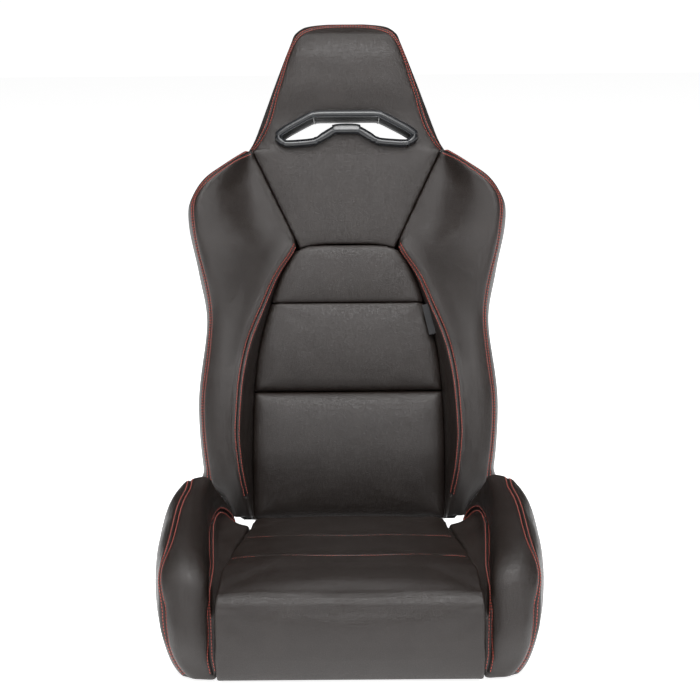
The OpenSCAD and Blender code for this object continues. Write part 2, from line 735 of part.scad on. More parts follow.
module lever_screw() translate([0, rod_at[0], rod_at[1]]) {
    bar_x(lever_x - 6, lever_x + lever_t + 1, lever_screw_d);
    bar_x(lever_x + lever_t + weld_gap, lever_x + lever_t + 3, rod_d + 5);
}
module lever_screws() color("#9a9ca0") {
    lever_screw();
    mirrored() lever_screw();
}

// ---------------------------------------------------------------- back frame

// On the back: X across, Y to the rear, Z up along the back, from the hinge axis
module on_back() translate([0, hinge_y, hinge_z]) rotate([-recline, 0, 0]) children();

hoop_half = waist_half - hoop_inset;
hoop_back = hoop_d / 2 + 3.5;
hoop_low = 40;
hoop_turn_v = 460;
hoop_peak = hoop_top - hoop_d / 2;
hoop_turn = [hoop_half, hoop_turn_v];
hoop_corner = [hoop_head_half, hoop_peak];
hoop_half_path = concat(
    corner_arc([hoop_half, hoop_low], hoop_turn, hoop_corner, hoop_bend, 3),
    corner_arc(hoop_turn, hoop_corner, [0, hoop_peak], hoop_bend, 6)
);
function hoop_path(low) = concat(
    [[hoop_half, low, 0]],
    [for (p = hoop_half_path) [p[0], p[1], 0]],
    [for (i = [len(hoop_half_path) - 1 : -1 : 0]) [-hoop_half_path[i][0], hoop_half_path[i][1], 0]],
    [[-hoop_half, low, 0]]
);
function hoop_u(v) = v < hoop_turn_v ? hoop_half :
    mix(hoop_half, hoop_head_half, (v - hoop_turn_v) / (hoop_peak - hoop_turn_v));
module hoop_solid(d, low = hoop_low)
    translate([0, hoop_back, 0]) rotate([90, 0, 0]) wire(hoop_path(low), d, 16);

arm_bolt_v = [72, 120];
arm_bolt_d = 8;
shell_screw_v = [130, 385, 560];
shell_screw_d = 4.5;
module back_frame_hoop() color("#232427") on_back() difference() {
    hoop_solid(hoop_d);
    hoop_solid(hoop_d - 2 * tube_wall, hoop_low - 1);
    for (v = arm_bolt_v) translate([0, hoop_back, v])
        bar_x(-hoop_half - hoop_d, hoop_half + hoop_d, arm_bolt_d + 2 * weld_gap);
    for (side = [-1, 1]) for (v = shell_screw_v) translate([side * hoop_u(v), hoop_back, v])
        rotate([-90, 0, 0]) cylinder(h = hoop_d, d = shell_screw_d + 2 * weld_gap);
}

module back_tube(v, d) color("#232427") on_back() difference() {
    translate([0, hoop_back, v]) bar_x(-hoop_u(v), hoop_u(v), d);
    translate([0, hoop_back, v]) bar_x(-hoop_half, hoop_half, d - 2 * tube_wall);
    hoop_solid(hoop_d + 2 * weld_gap);
}
lower_tube_v = 72;
upper_tube_v = 470;
module lower_back_tube() back_tube(lower_tube_v + 22, 20);
module upper_back_tube() back_tube(upper_tube_v, 20);

back_spring_v = [150, 225, 300, 375];
sheet_t = 2;
back_spring_back = sheet_t + 2 * weld_gap + wire_d / 2;
spring_reach = hoop_half - hoop_d / 2 - 1;
module back_springs() color("#4a4c50") on_back() for (v = back_spring_v)
    translate([-spring_reach, back_spring_back, v]) rotate([90, 0, 0])
        wire(sinuous(2 * spring_reach, 7, 16, hoop_d * 0.6), wire_d);
module back_clip(side, v) difference() {
    translate([side * (hoop_half - hoop_d / 2 - 4) - 6, weld_gap + 0.3, v - 7])
        cube([12, back_spring_back + wire_d / 2 + 1, 14]);
    hoop_solid(hoop_d + 2 * weld_gap);
    translate([0, back_spring_back, v]) bar_x(-hoop_half, hoop_half, wire_d + 2 * weld_gap);
}
module back_spring_clips() color("#9a9ca0") on_back()
    for (side = [-1, 1]) for (v = back_spring_v) back_clip(side, v);

sheet_half = min(panel_low_half, hoop_half - hoop_d / 2 - 12);
module back_support_pad() color("#3a3b3d") on_back()
    translate([-sheet_half, weld_gap, 24]) cube([2 * sheet_half, sheet_t, yoke_v - 40]);

// Arm: toothed hub round the hinge and a strap up the frame leg
strap_half = hoop_d / 2 - 2.5;
module arm_slot() {
    half_w = stop_d / 2 + 0.4;
    first = stop_angle + recline - travel_forward - 2;
    last = first + travel_back + travel_forward + 4;
    turns = steps(first, last, 16);
    plate_x_profile(concat(
        [for (a = turns) (stop_r + half_w) * [cos(a), sin(a)]],
        [for (i = [len(turns) - 1 : -1 : 0]) (stop_r - half_w) * [cos(turns[i]), sin(turns[i])]]),
        arm_in - 1, arm_out + 1);
    for (a = [first, last]) translate([0, stop_r * cos(a), stop_r * sin(a)])
        bar_x(arm_in - 1, arm_out + 1, 2 * half_w + 2 * link_step);
}
module recliner_arm() color("#8d9095") on_back() difference() {
    union() {
        bar_x(arm_in, arm_out, 2 * (sector_r - tooth_h));
        plate_x_profile(teeth(sector_r, sector_r - tooth_h - 0.5, pawl_angle + recline - travel_forward - 8,
            pawl_angle + recline + travel_back + 8), arm_in, arm_out);
        link_x([hoop_back, 0], strap_half - 0.5, [hoop_back, arm_bolt_v[1] + 4], strap_half, arm_in, arm_out);
    }
    bar_x(arm_in - 1, arm_out + 1, hinge_pin_d + 2 * weld_gap);
    for (v = arm_bolt_v) translate([0, hoop_back, v])
        bar_x(arm_in - 1, arm_out + 1, arm_bolt_d + 2 * weld_gap);
    arm_slot();
}
module recliner_arm_left() recliner_arm();
module recliner_arm_right() mirrored() recliner_arm();

module arm_bolt(v) translate([0, hoop_back, v]) {
    bar_x(hoop_half - hoop_d / 2 - 6, arm_out + 1, arm_bolt_d);
    bar_x(arm_out + weld_gap / 2, arm_out + 3.4, arm_bolt_d + 6);
    translate([hoop_half - hoop_d / 2 - 6.5, 0, 0]) rotate([0, 90, 0])
        cylinder(h = 6.3, d = arm_bolt_d + 6, $fn = 6);
}
module arm_bolts() color("#9a9ca0") on_back() for (v = arm_bolt_v) {
    arm_bolt(v);
    mirrored() arm_bolt(v);
}

module hinge_pin() color("#8d9095") on_back() difference() {
    union() {
        bar_x(arm_in - 1, spring_x + spring_strip_w + 1, hinge_pin_d);
        bar_x(arm_in - 5, arm_in - weld_gap, hinge_pin_d + 8);
    }
    rotate([peg_angle + recline, 0, 0])
        translate([spring_x - 1, -0.5, -spring_strip_t / 2 - 0.5])
        cube([spring_strip_w + 3, hinge_pin_d, spring_strip_t + 1]);
}
module hinge_pin_left() hinge_pin();
module hinge_pin_right() mirrored() hinge_pin();

// ---------------------------------------------------------------- back padding

// Point of the back: across, forward of the frame face, up along the back
function at(u, w, v) = [u, -w, v];

back_edge = [
    [hem_v, hem_half],
    [hip_v, hip_half],
    [waist_v, waist_half],
    [mix(waist_v, shoulder_v, 0.44), mix(waist_half, shoulder_half, 0.43)],
    [shoulder_v, shoulder_half],
    [mix(shoulder_v, neck_v, 0.46), mix(neck_half, shoulder_half, 0.78)],
    [mix(shoulder_v, neck_v, 0.7), mix(neck_half, shoulder_half, 0.46)],
    [neck_v - 8, mix(neck_half, shoulder_half, 0.1)],
    [neck_v, neck_half]
];
panel_edge = [
    [hem_v, panel_low_half + 2],
    [lower_seam_v * 0.55, panel_low_half + 3],
    [lower_seam_v, panel_low_half],
    [mix(lower_seam_v, upper_seam_v, 0.5), mix(panel_low_half, panel_mid_half, 0.3)],
    [upper_seam_v, panel_mid_half],
    [mix(upper_seam_v, yoke_v, 0.46), mix(panel_mid_half, panel_top_half, 0.34)],
    [mix(upper_seam_v, yoke_v, 0.76), mix(panel_mid_half, panel_top_half, 0.69)],
    [yoke_v, panel_top_half]
];
neck_seam_half = neck_half - neck_flare - 4;
function yoke_edge(v) = mix(panel_top_half, neck_seam_half, (v - yoke_v) / (neck_v - yoke_v));
function inner_edge(v) = v < yoke_v ? curve(panel_edge, v) : yoke_edge(v);

// The lower hem rises beside the hinges
hem_rise_to = plate_x - plate_t - 0.5;
hem_rise_from = hem_rise_to - 16.5;
hem_fade = 110;
function hem_lift(u, v) = (hem_side_v - hem_v)
    * clamp((abs(u) - hem_rise_from) / (hem_rise_to - hem_rise_from), 0, 1)
    * squared(1 - clamp((v - hem_v) / hem_fade, 0, 1));

// Sewn crest of the side bolsters, measured out from the panels, then the front edge of the wings
crest_out = [
    [hem_v, 2], [75, 15], [130, 22], [192, 21], [240, 19.5], [281, 17], [339, 9.5], [373, 6.5],
    [419, 4.5], [yoke_v, 4]
];
crest_w = [
    [hem_v, hip_thick * 0.62], [75, hip_thick * 0.95], [130, hip_thick], [192, hip_thick * 0.98],
    [240, hip_thick * 0.9], [281, hip_thick * 0.8], [339, panel_thick + 20], [373, panel_thick + 14],
    [419, panel_thick + 9], [yoke_v, panel_thick + 3]
];
front_u = [
    [hem_v, hem_half - 28], [hip_v, hip_half - 34], [waist_v, waist_half - 27], [404, waist_half - 10],
    [shoulder_v, shoulder_half - 21], [mix(shoulder_v, neck_v, 0.46), shoulder_half - 40],
    [mix(shoulder_v, neck_v, 0.7), shoulder_half - 66], [neck_v, neck_half - 2]
];
front_w = [
    [hem_v, hip_thick * 0.55], [75, hip_thick * 0.86], [hip_v, hip_thick * 0.95], [waist_v, hip_thick * 0.9],
    [404, mix(hip_thick, wing_thick, 0.4)], [shoulder_v, wing_thick],
    [mix(shoulder_v, neck_v, 0.46), wing_thick * 0.93],
    [mix(shoulder_v, neck_v, 0.7), wing_thick * 0.78], [neck_v - 8, wing_thick * 0.55], [neck_v, yoke_thick]
];
function bolster_ring(v) =
    let (
        inner = inner_edge(v) + seam_gap,
        edge = curve(back_edge, v),
        crest = v < yoke_v ? [inner_edge(v) + curve(crest_out, v), curve(crest_w, v)]
            : [inner + min(22, (edge - inner) * 0.2), yoke_thick + 3],
        front = [max(min(curve(front_u, v), edge - 1.5), crest[0] + 1), curve(front_w, v)],
        low = min(panel_thick - 4, front[1] - 3)
    )
    concat(
        [[inner, soft_gap], [inner, low]],
        [for (t = [0.3, 0.65]) [mix(inner, crest[0], squared(t)), mix(low, crest[1], t)]],
        [crest],
        [for (t = [0.25, 0.5, 0.75])
            [mix(crest[0], front[0], t), mix(crest[1], front[1], (1 - cos(180 * t)) / 2)]],
        [for (a = [90, 62, 35, 12]) [front[0] + (edge - front[0]) * cos(a),
            front[1] * (0.42 + 0.58 * sin(a))]],
        [[edge, front[1] * 0.3], [edge - 5, soft_gap], [min(hem_rise_to, mix(inner, edge, 0.7)), soft_gap],
            [min(hem_rise_from, mix(inner, edge, 0.4)), soft_gap]]
    );
module back_bolster() color("#34302e") on_back() {
    rows = concat([hem_v, hem_v + 5], steps(26, shoulder_v, 17),
        [518, 534, 548, 561, 573, 584, 593, 600, neck_v - 3]);
    rings = [for (v = rows)
        let (inset = v == hem_v ? 6 : v < hem_v + 6 ? 2 : 0)
        [for (p = bolster_ring(v)) at(p[0] + (p[0] < hem_rise_from ? inset * 0.3 : -inset),
            max(p[1] - inset, soft_gap), v + hem_lift(p[0], v))]];
    loft(rings, at(hem_rise_from + 20, 25, hem_v + hem_lift(hem_rise_from + 20, hem_v)),
        at(neck_half - 2, yoke_thick / 2, neck_v - 3));
}
module back_bolster_left() back_bolster();
module back_bolster_right() mirrored() back_bolster();

// The yoke seam falls off towards its ends, with the upper panel's rounded corners
yoke_fall = 9;
function yoke_arch(u) = -yoke_fall * pow(min(1, abs(u) / panel_top_half), 6);

// Crowned panel between two seams, drawn in along its edges
panel_roll = 15;
cap_dish = 5;
function crowned(s, sharp) = pow(max(0, 1 - pow(abs(s), sharp)), 0.5);
module panel(from, to, roll_low = 1, roll_high = 1, arched = false) color("#37373a") on_back() {
    rows = [0, 0.015, 0.05, 0.12, 0.25, 0.5, 0.75, 0.88, 0.95, 0.985, 1];
    across = [-1, -0.985, -0.94, -0.85, -0.6, -0.2, 0.2, 0.6, 0.85, 0.94, 0.985, 1];
    rings = [for (t = rows)
        let (
            v = mix(from, to, t),
            bend = arched ? t * t * t : 0,
            half = curve(panel_edge, v - bend * yoke_fall) - seam_gap / 2 - 1.5 * pow(abs(2 * t - 1), 8),
            end = t < 0.5 ? mix(1, crowned(2 * t - 1, 8), roll_low) : mix(1, crowned(2 * t - 1, 8), roll_high)
        )
        concat(
            [at(-half, soft_gap, v + bend * yoke_arch(half))],
            [for (s = across) at(half * s, panel_thick - panel_roll * (1 - min(end, crowned(s, 10))),
                v + bend * yoke_arch(half * s))],
            [at(half, soft_gap, v + bend * yoke_arch(half))]
        )];
    loft(rings, at(0, panel_thick / 2, from), at(0, panel_thick / 2, to - (arched ? cap_dish : 0)));
}
module back_pad_lower() panel(hem_v - 2, lower_seam_v - seam_gap / 2, 1, 1);
module back_pad_middle() panel(lower_seam_v + seam_gap / 2, upper_seam_v - seam_gap / 2, 1, 0.3);
module back_pad_upper() panel(upper_seam_v + seam_gap / 2, yoke_v - seam_gap / 2, 0.3, 0.4, true);

// Head: flaring out of the neck, tapering straight up, then round its top corners
flare_h = 26;
function head_edge(v) = v < neck_v ? yoke_edge(v)
    : v < back_top - head_corner_drop ? mix(neck_half - neck_flare, head_corner_half,
        (v - neck_v) / (back_top - head_corner_drop - neck_v))
        + neck_flare * squared(max(0, 1 - (v - neck_v) / flare_h))
    : let (s = (v - back_top + head_corner_drop) / head_corner_drop)
        mix(head_top_half, head_corner_half, pow(max(0, 1 - pow(s, 1.8)), 0.5));
head_w = [
    [yoke_v, yoke_thick], [560, yoke_thick], [neck_v, yoke_thick + 1], [slot_top, yoke_thick + 4],
    [slot_top + 35, head_thick - 3], [slot_top + 85, head_thick], [back_top - 45, head_thick * 0.9],
    [back_top - 18, head_thick * 0.66], [back_top - 6, head_thick * 0.46], [back_top, head_thick * 0.26]
];
head_rows = concat([yoke_v + seam_gap / 2, yoke_v + 4, yoke_v + 12, 485, 520, 560, 590, neck_v - 0.5, neck_v,
    neck_v + flare_h * 0.4, neck_v + flare_h, 652,
    slot_top + 8, 700, 725, 750, 770], steps(back_top - head_corner_drop, back_top, 6));
head_across = [-1, -0.975, -0.92, -0.8, -0.45, 0, 0.45, 0.8, 0.92, 0.975, 1];
function head_roll(v) = v < neck_v ? 4.5 : curve(head_w, v) * 0.5;
function head_crown(s, v) = crowned(s, v < neck_v ? 20 : 6);
yoke_bend_h = 60;
function yoke_bend(v) = squared(max(0, 1 - (v - yoke_v - seam_gap / 2) / yoke_bend_h));
// How far the head's face stands out between its rows
function head_face(u, v) =
    let (top = lookup(v, [for (r = head_rows) [r, curve(head_w, r)]]))
    top - head_roll(v) * (1 - lookup(u / head_edge(v), [for (s = head_across) [s, head_crown(s, v)]]));
module head_pad() color("#343437") on_back() {
    rings = [for (v = head_rows)
        let (half = head_edge(v - yoke_bend(v) * yoke_fall), top = curve(head_w, v),
            low = v + yoke_bend(v) * yoke_arch(half),
            dip = v < yoke_v + 2 ? 4 : v < yoke_v + 6 ? 1.5 : 0)
        concat(
            [at(-half + 3, soft_gap, low), at(-half, top * 0.35, low)],
            [for (s = head_across) at(half * (1 - (v < neck_v ? 0 : 0.02)) * s,
                top - dip - head_roll(v) * (1 - head_crown(s, v)), v + yoke_bend(v) * yoke_arch(half * s))],
            [at(half, top * 0.35, low), at(half - 3, soft_gap, low)]
        )];
    difference() {
        loft(rings, at(0, yoke_thick / 2, yoke_v + cap_dish), at(0, 8, back_top));
        slot_prism(slot_opening + sleeve_wall + soft_gap, -1, head_thick + 20);
    }
}

// ---------------------------------------------------------------- belt slot

// Middle line of the bezel: straight top, pointed outer ends, a hump under the middle
slot_low_v = slot_corner_v - 7;
slot_hump_half = 26;
slot_foot_half = slot_hump_half + 20;
slot_line = rounded([
    [slot_top_half, slot_top, 22], [-slot_top_half, slot_top, 22],
    [-slot_half, slot_corner_v + 2, 9], [-slot_half + 10, slot_low_v - 6, 9],
    [-slot_foot_half, slot_low_v + 1, 18], [-slot_hump_half, slot_hump_v, 10],
    [slot_hump_half, slot_hump_v, 10], [slot_foot_half, slot_low_v + 1, 18],
    [slot_half - 10, slot_low_v - 6, 9], [slot_half, slot_corner_v + 2, 9]
], 3);
slot_n = len(slot_line);
function slot_out(i) =
    let (d = unit(slot_line[(i + 1) % slot_n] - slot_line[(i + slot_n - 1) % slot_n])) [d[1], -d[0]];
function slot_grown(i, grow) = slot_line[i] + slot_out(i) * grow;

// The sleeve climbs towards the rear from the face of the yoke
function slot_rise(w) = slot_slope * (yoke_thick - w);
function slot_at(q, w) = at(q[0], w, q[1] + slot_rise(w));
function slot_seat(q) = head_face(q[0], q[1] + slot_rise(head_face(q[0], q[1]))) + bezel_seat;
module slot_prism(grow, from, to) {
    ring = [for (i = [0 : slot_n - 1]) slot_grown(i, grow)];
    polyhedron(
        concat([for (q = ring) slot_at(q, from)], [for (q = ring) slot_at(q, to)]),
        concat(
            [[for (i = [0 : slot_n - 1]) i], [for (i = [slot_n - 1 : -1 : 0]) slot_n + i]],
            [for (i = [0 : slot_n - 1]) let (j = (i + 1) % slot_n) [i, slot_n + i, slot_n + j, j]]
        ),
        convexity = 4
    );
}

slot_opening = 0.5 - bezel_w / 2;
bezel_seat = 0.6;
module slot_bezel_front() color("#1f2226") on_back() loop_loft([for (i = [0 : slot_n - 1])
    let (lip = bezel_w / 2, outer = slot_seat(slot_grown(i, lip)),
        inner = slot_seat(slot_grown(i, slot_opening + sleeve_wall)),
        seat = max(outer, inner))
    [for (p = [
        [lip, outer], [lip, seat + bezel_face * 0.5], [lip * 0.55, seat + bezel_face * 0.9],
        [-lip * 0.2, seat + bezel_face],
        [-lip * 0.85, seat + bezel_face * 0.75], [slot_opening, seat + 2], [slot_opening, -sleeve_end],
        [slot_opening + sleeve_wall, -sleeve_end], [slot_opening + sleeve_wall, inner]
    ]) slot_at(slot_grown(i, p[0]), p[1])]]);

// ---------------------------------------------------------------- rear shell

shell_d = [
    [hem_v, shell_depth - 8], [hem_v + 90, shell_depth - 1], [waist_v, shell_depth],
    [shoulder_v, shell_depth - 4], [neck_v, mix(shell_depth, shell_head_depth, 0.45)],
    [back_top - 85, mix(shell_depth, shell_head_depth, 0.8)], [back_top - 38, shell_head_depth],
    [back_top - 20, shell_head_depth * 0.86], [back_top - 9, shell_head_depth * 0.6],
    [back_top - shell_inset, shell_head_depth * 0.3]
];
function outline(v) = v < neck_v ? curve(back_edge, v) : head_edge(v);
function shell_w(u, v, skin = 0) =
    let (half = outline(v) - shell_inset - skin, deep = curve(shell_d, v) - skin)
    deep * pow(max(0, 1 - pow(min(1, abs(u) / half), 4)), 0.25);
function shell_side(v, skin, n) =
    let (half = outline(v) - shell_inset - skin, deep = curve(shell_d, v) - skin)
    [for (i = [0 : n]) let (a = 180 * i / n, c = cos(a), s = sin(a))
        [half * sign(c) * pow(abs(c), 0.5), -soft_gap - (deep - soft_gap) * pow(abs(s), 0.5)]];
shell_n = 14;
module rear_shell() color("#222326") on_back() {
    n = shell_n;
    rows = concat([hem_v, 40], steps(75, shoulder_v, 9), [535, 560, 580, 595, neck_v, 640, 700, 750],
        [back_top - 38, back_top - 24, back_top - 14, back_top - shell_inset]);
    rings = [for (v = rows)
        let (
            drop = max(0, v - (back_top - shell_inset - 3 * shell_wall)) / 3,
            outside = shell_side(v, 0, n),
            inside = shell_side(v, shell_wall, n)
        )
        concat(
            [for (i = [0 : n]) at(outside[i][0], outside[i][1], v + hem_lift(outside[i][0], v))],
            [for (i = [n : -1 : 0]) at(inside[i][0], inside[i][1], v - drop + hem_lift(inside[i][0], v))]
        )];
    difference() {
        wall_loft(rings);
        slot_prism(slot_opening + sleeve_wall + loose_gap, -shell_depth - 5, 0);
        for (side = [-1, 1]) for (v = shell_screw_v) translate([side * hoop_u(v), 0, v]) rotate([-90, 0, 0]) {
            cylinder(h = shell_depth + 10, d = shell_screw_d + 2 * weld_gap);
            translate([0, 0, shell_w(hoop_u(v), v) - shell_recess]) cylinder(h = 20, d = shell_screw_d + 7);
        }
    }
}
shell_recess = 3;
spacer_d = shell_screw_d + 8;
module shell_spacer(u, v) {
    tube_back = hoop_back + hoop_d / 2 + weld_gap;
    rim = [for (a = [-1, 0, 1]) shell_side(v + a * spacer_d / 2, shell_wall, shell_n)];
    reach = min([for (r = rim) -lookup(u + spacer_d / 2, r)]) - tube_back - soft_gap;
    translate([u, tube_back, v]) rotate([-90, 0, 0]) difference() {
        cylinder(h = reach, d = spacer_d);
        translate([0, 0, -1]) cylinder(h = reach + 2, d = shell_screw_d + 2 * weld_gap);
    }
}
module shell_spacers() color("#15161a") on_back() for (v = shell_screw_v) {
    shell_spacer(hoop_u(v), v);
    mirrored() shell_spacer(hoop_u(v), v);
}
module shell_screws() color("#9a9ca0") on_back()
    for (side = [-1, 1]) for (v = shell_screw_v) {
        seat = shell_w(hoop_u(v), v) - shell_recess;
        translate([side * hoop_u(v), 0, v]) rotate([-90, 0, 0]) {
            translate([0, 0, hoop_back + hoop_d / 2 - tube_wall - 1])
                cylinder(h = seat - hoop_back - hoop_d / 2 + tube_wall + 2, d = shell_screw_d);
            translate([0, 0, seat + weld_gap]) cylinder(h = 2.5, d = shell_screw_d + 5.5);
        }
    }

rear_bezel_h = 4;
rear_bezel_seat = 0.9;
sleeve_end = shell_w(0, slot_top + slot_rise(-shell_head_depth)) + rear_bezel_h - 1;
module slot_bezel_rear() color("#1f2226") on_back() loop_loft([for (i = [0 : slot_n - 1])
    let (inner = slot_opening + sleeve_wall + loose_gap)
    [for (p = [[inner, -0.3], [inner, rear_bezel_h], [inner + 5, rear_bezel_h],
        [inner + bezel_w, 1.5], [inner + bezel_w, 0]])
        let (q = slot_grown(i, p[0]), skin = shell_w(q[0], q[1] + slot_rise(-shell_w(q[0], q[1]))))
            slot_at(q, -skin - rear_bezel_seat - max(0, p[1]))]]);

side_rail_left();
side_rail_right();
front_cross_tube();
rear_cross_tube();
side_frame_left();
side_frame_right();
weld_nuts();
seat_springs();
seat_spring_clips();
cushion_support_pad();
seat_cushion();
thigh_bolster_left();
thigh_bolster_right();
recliner_cover_left();
recliner_cover_right();
cover_screws();
travel_stops();
spring_pegs();
return_spring_left();
return_spring_right();
rod_bushes();
back_frame_hoop();
lower_back_tube();
upper_back_tube();
back_springs();
back_spring_clips();
back_support_pad();
recliner_arm_left();
recliner_arm_right();
arm_bolts();
hinge_pin_left();
hinge_pin_right();
back_pad_lower();
back_pad_middle();
back_pad_upper();
head_pad();
back_bolster_left();
back_bolster_right();
rear_shell();
slot_bezel_front();
slot_bezel_rear();
shell_spacers();
shell_screws();
release_rod();
pawl_left();
pawl_right();
lever_left();
lever_right();
lever_grip_left();
lever_grip_right();
lever_screws();
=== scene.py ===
"""Looks of a reclining sport seat: leather, thread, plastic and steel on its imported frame."""

import json
import logging
import math
from dataclasses import dataclass
from enum import Enum
from typing import Sequence

import bmesh
import bpy
import numpy as np
from mathutils import Matrix, Vector
from mathutils.bvhtree import BVHTree
from mathutils.kdtree import KDTree

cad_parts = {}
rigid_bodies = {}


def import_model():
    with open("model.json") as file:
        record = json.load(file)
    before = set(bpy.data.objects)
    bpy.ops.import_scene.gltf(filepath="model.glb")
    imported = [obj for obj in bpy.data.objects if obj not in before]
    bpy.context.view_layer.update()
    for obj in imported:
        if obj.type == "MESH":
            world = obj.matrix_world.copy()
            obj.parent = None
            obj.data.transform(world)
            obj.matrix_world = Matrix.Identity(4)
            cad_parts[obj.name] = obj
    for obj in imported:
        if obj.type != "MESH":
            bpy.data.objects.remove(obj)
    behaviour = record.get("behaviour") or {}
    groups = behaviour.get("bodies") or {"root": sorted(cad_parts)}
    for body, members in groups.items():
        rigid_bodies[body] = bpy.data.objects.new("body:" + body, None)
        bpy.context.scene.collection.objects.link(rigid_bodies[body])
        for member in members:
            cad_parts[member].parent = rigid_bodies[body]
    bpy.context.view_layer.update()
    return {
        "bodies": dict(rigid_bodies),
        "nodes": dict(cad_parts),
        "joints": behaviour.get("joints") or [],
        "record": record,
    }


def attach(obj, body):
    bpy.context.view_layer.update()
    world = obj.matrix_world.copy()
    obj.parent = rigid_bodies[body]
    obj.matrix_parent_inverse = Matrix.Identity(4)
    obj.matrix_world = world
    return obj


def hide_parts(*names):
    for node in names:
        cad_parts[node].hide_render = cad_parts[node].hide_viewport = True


log = logging.getLogger("seat")

Nodes = dict[str, bpy.types.Object]
Socket = bpy.types.NodeSocket
Span = tuple[float, float]
Triple = tuple[float, float, float]
Knots = tuple[tuple[float, ...], ...]
Path = list[tuple[Vector, Vector, Vector]]

MM = 0.001
FAR_FROM_SEAM = 10.0
WELD = 0.00002
SHARP_CREASE = 0.75
AIM_SHARE = 0.75
AIM_TRIES = 3
SMOOTHING = (0.5, -0.52)
SWELL_FRAMES = 20
SWELL_EVENING = 14


class Body(str, Enum):
    """Moving bodies of the frame."""

    BASE = "base"
    BACKREST = "backrest"
    RELEASE = "release"


class Slot(str, Enum):
    """Material slots of the record."""

    UPHOLSTERY = "upholstery"
    BEZEL = "bezel_plastic"
    SHELL = "shell_plastic"


class Rows(Enum):
    """Thread rows of a seam, as offsets in millimetres to its sides."""

    SINGLE = (0.0,)
    DOUBLE = (-3.5, 3.5)


# ---------------------------------------------------------------- shader groups


def group_socket(
    group: bpy.types.NodeTree, name: str, kind: str, value: float | None = None, out: bool = False
) -> None:
    """Adds a named socket to a shader node group.

    Args:
        group: the node group.
        name: the socket's name.
        kind: Float, Vector or Color.
        value: default of a number input.
        out: whether the socket is an output.
    """
    socket = group.interface.new_socket(
        name=name, in_out="OUTPUT" if out else "INPUT", socket_type="NodeSocket" + kind
    )
    if value is not None:
        socket.default_value = value


@dataclass
class Wiring:
    """Short hand for placing and linking shader nodes in one tree."""

    tree: bpy.types.NodeTree

    def node(self, kind: str, **settings: object) -> bpy.types.Node:
        """Places a node.

        Args:
            kind: node type without its ShaderNode prefix.
            settings: its properties by name.

        Returns:
            The node.
        """
        made = self.tree.nodes.new("ShaderNode" + kind)
        for key, value in settings.items():
            setattr(made, key, value)
        return made

    def put(self, socket: Socket, value: object) -> None:
        """Links an input to a socket, or gives it a plain value.

        Args:
            socket: the input.
            value: another node's output, or a number, colour or vector.
        """
        if isinstance(value, bpy.types.NodeSocket):
            self.tree.links.new(value, socket)
        else:
            socket.default_value = value

    def feed(self, node: bpy.types.Node, **values: object) -> bpy.types.Node:
        """Sets or links the inputs of a node.

        Args:
            node: the node.
            values: input name, with underscores for spaces, to a socket or a plain value.

        Returns:
            The same node.
        """
        for key, value in values.items():
            name = key.replace("_", " ").strip()
            self.put(node.inputs[name], value)
        return node

    def math(
        self, operation: str, a: object, b: object = 0.0, c: object = 0.0, clamp: bool = False
    ) -> Socket:
        """Places a Math node.

        Args:
            operation: its operation.
            a: first input, a socket or number.
            b: second input.
            c: third input.
            clamp: whether the result stays between 0 and 1.

        Returns:
            The result's socket.
        """
        made = self.node("Math", operation=operation, use_clamp=clamp)
        for socket, value in zip(made.inputs, (a, b, c)):
            self.put(socket, value)
        return made.outputs[0]

    def fade(
        self, value: object, low: float, high: float, to_low: float = 0.0, to_high: float = 1.0
    ) -> Socket:
        """Smooth step of a value from one range to another.

        Args:
            value: the socket that is read.
            low: where the step starts.
            high: where the step ends.
            to_low: result at and under low.
            to_high: result at and over high.

        Returns:
            The result's socket.
        """
        made = self.node("MapRange", interpolation_type="SMOOTHSTEP")
        self.feed(made, Value=value, From_Min=low, From_Max=high, To_Min=to_low, To_Max=to_high)
        return made.outputs[0]

    def mix(self, amount: object, a: object, b: object) -> Socket:
        """Mixes two colours.

        Args:
            amount: share of the second.
            a: first colour, a socket or four numbers.
            b: second colour.

        Returns:
            The result's socket.
        """
        made = self.node("Mix", data_type="RGBA")
        for socket, value in zip((made.inputs[0], made.inputs[6], made.inputs[7]), (amount, a, b)):
            self.put(socket, value)
        return made.outputs[2]

    def noise(self, place: Socket, scale: object, detail: float) -> Socket:
        """A noise pattern.

        Args:
            place: where it is read.
            scale: its cells in a metre, a socket or number.
            detail: its octaves.

        Returns:
            Its value's socket.
        """
        made = self.node("TexNoise")
        return self.feed(made, Vector=place, Scale=scale, Detail=detail).outputs[0]

    def relief(self, height: Socket) -> Socket:
        """The normal of a face that is raised by a height in millimetres."""
        made = self.node("Bump")
        return self.feed(made, Height=height, Strength=1.0, Distance=MM).outputs[0]


def new_group(
    name: str, inputs: dict[str, float | None], outputs: Sequence[str]
) -> tuple[bpy.types.NodeTree, Wiring, bpy.types.Node, bpy.types.Node]:
    """Starts a shader node group.

    Args:
        name: the group's name.
        inputs: number inputs with defaults; None makes a vector input.
        outputs: names of its number outputs.

    Returns:
        The group, its wiring, its input node and its output node.
    """
    group = bpy.data.node_groups.new(name, "ShaderNodeTree")
    for key, value in inputs.items():
        group_socket(group, key, "Vector" if value is None else "Float", value)
    for key in outputs:
        group_socket(group, key, "Float", out=True)
    start, end = group.nodes.new("NodeGroupInput"), group.nodes.new("NodeGroupOutput")
    return group, Wiring(group), start, end


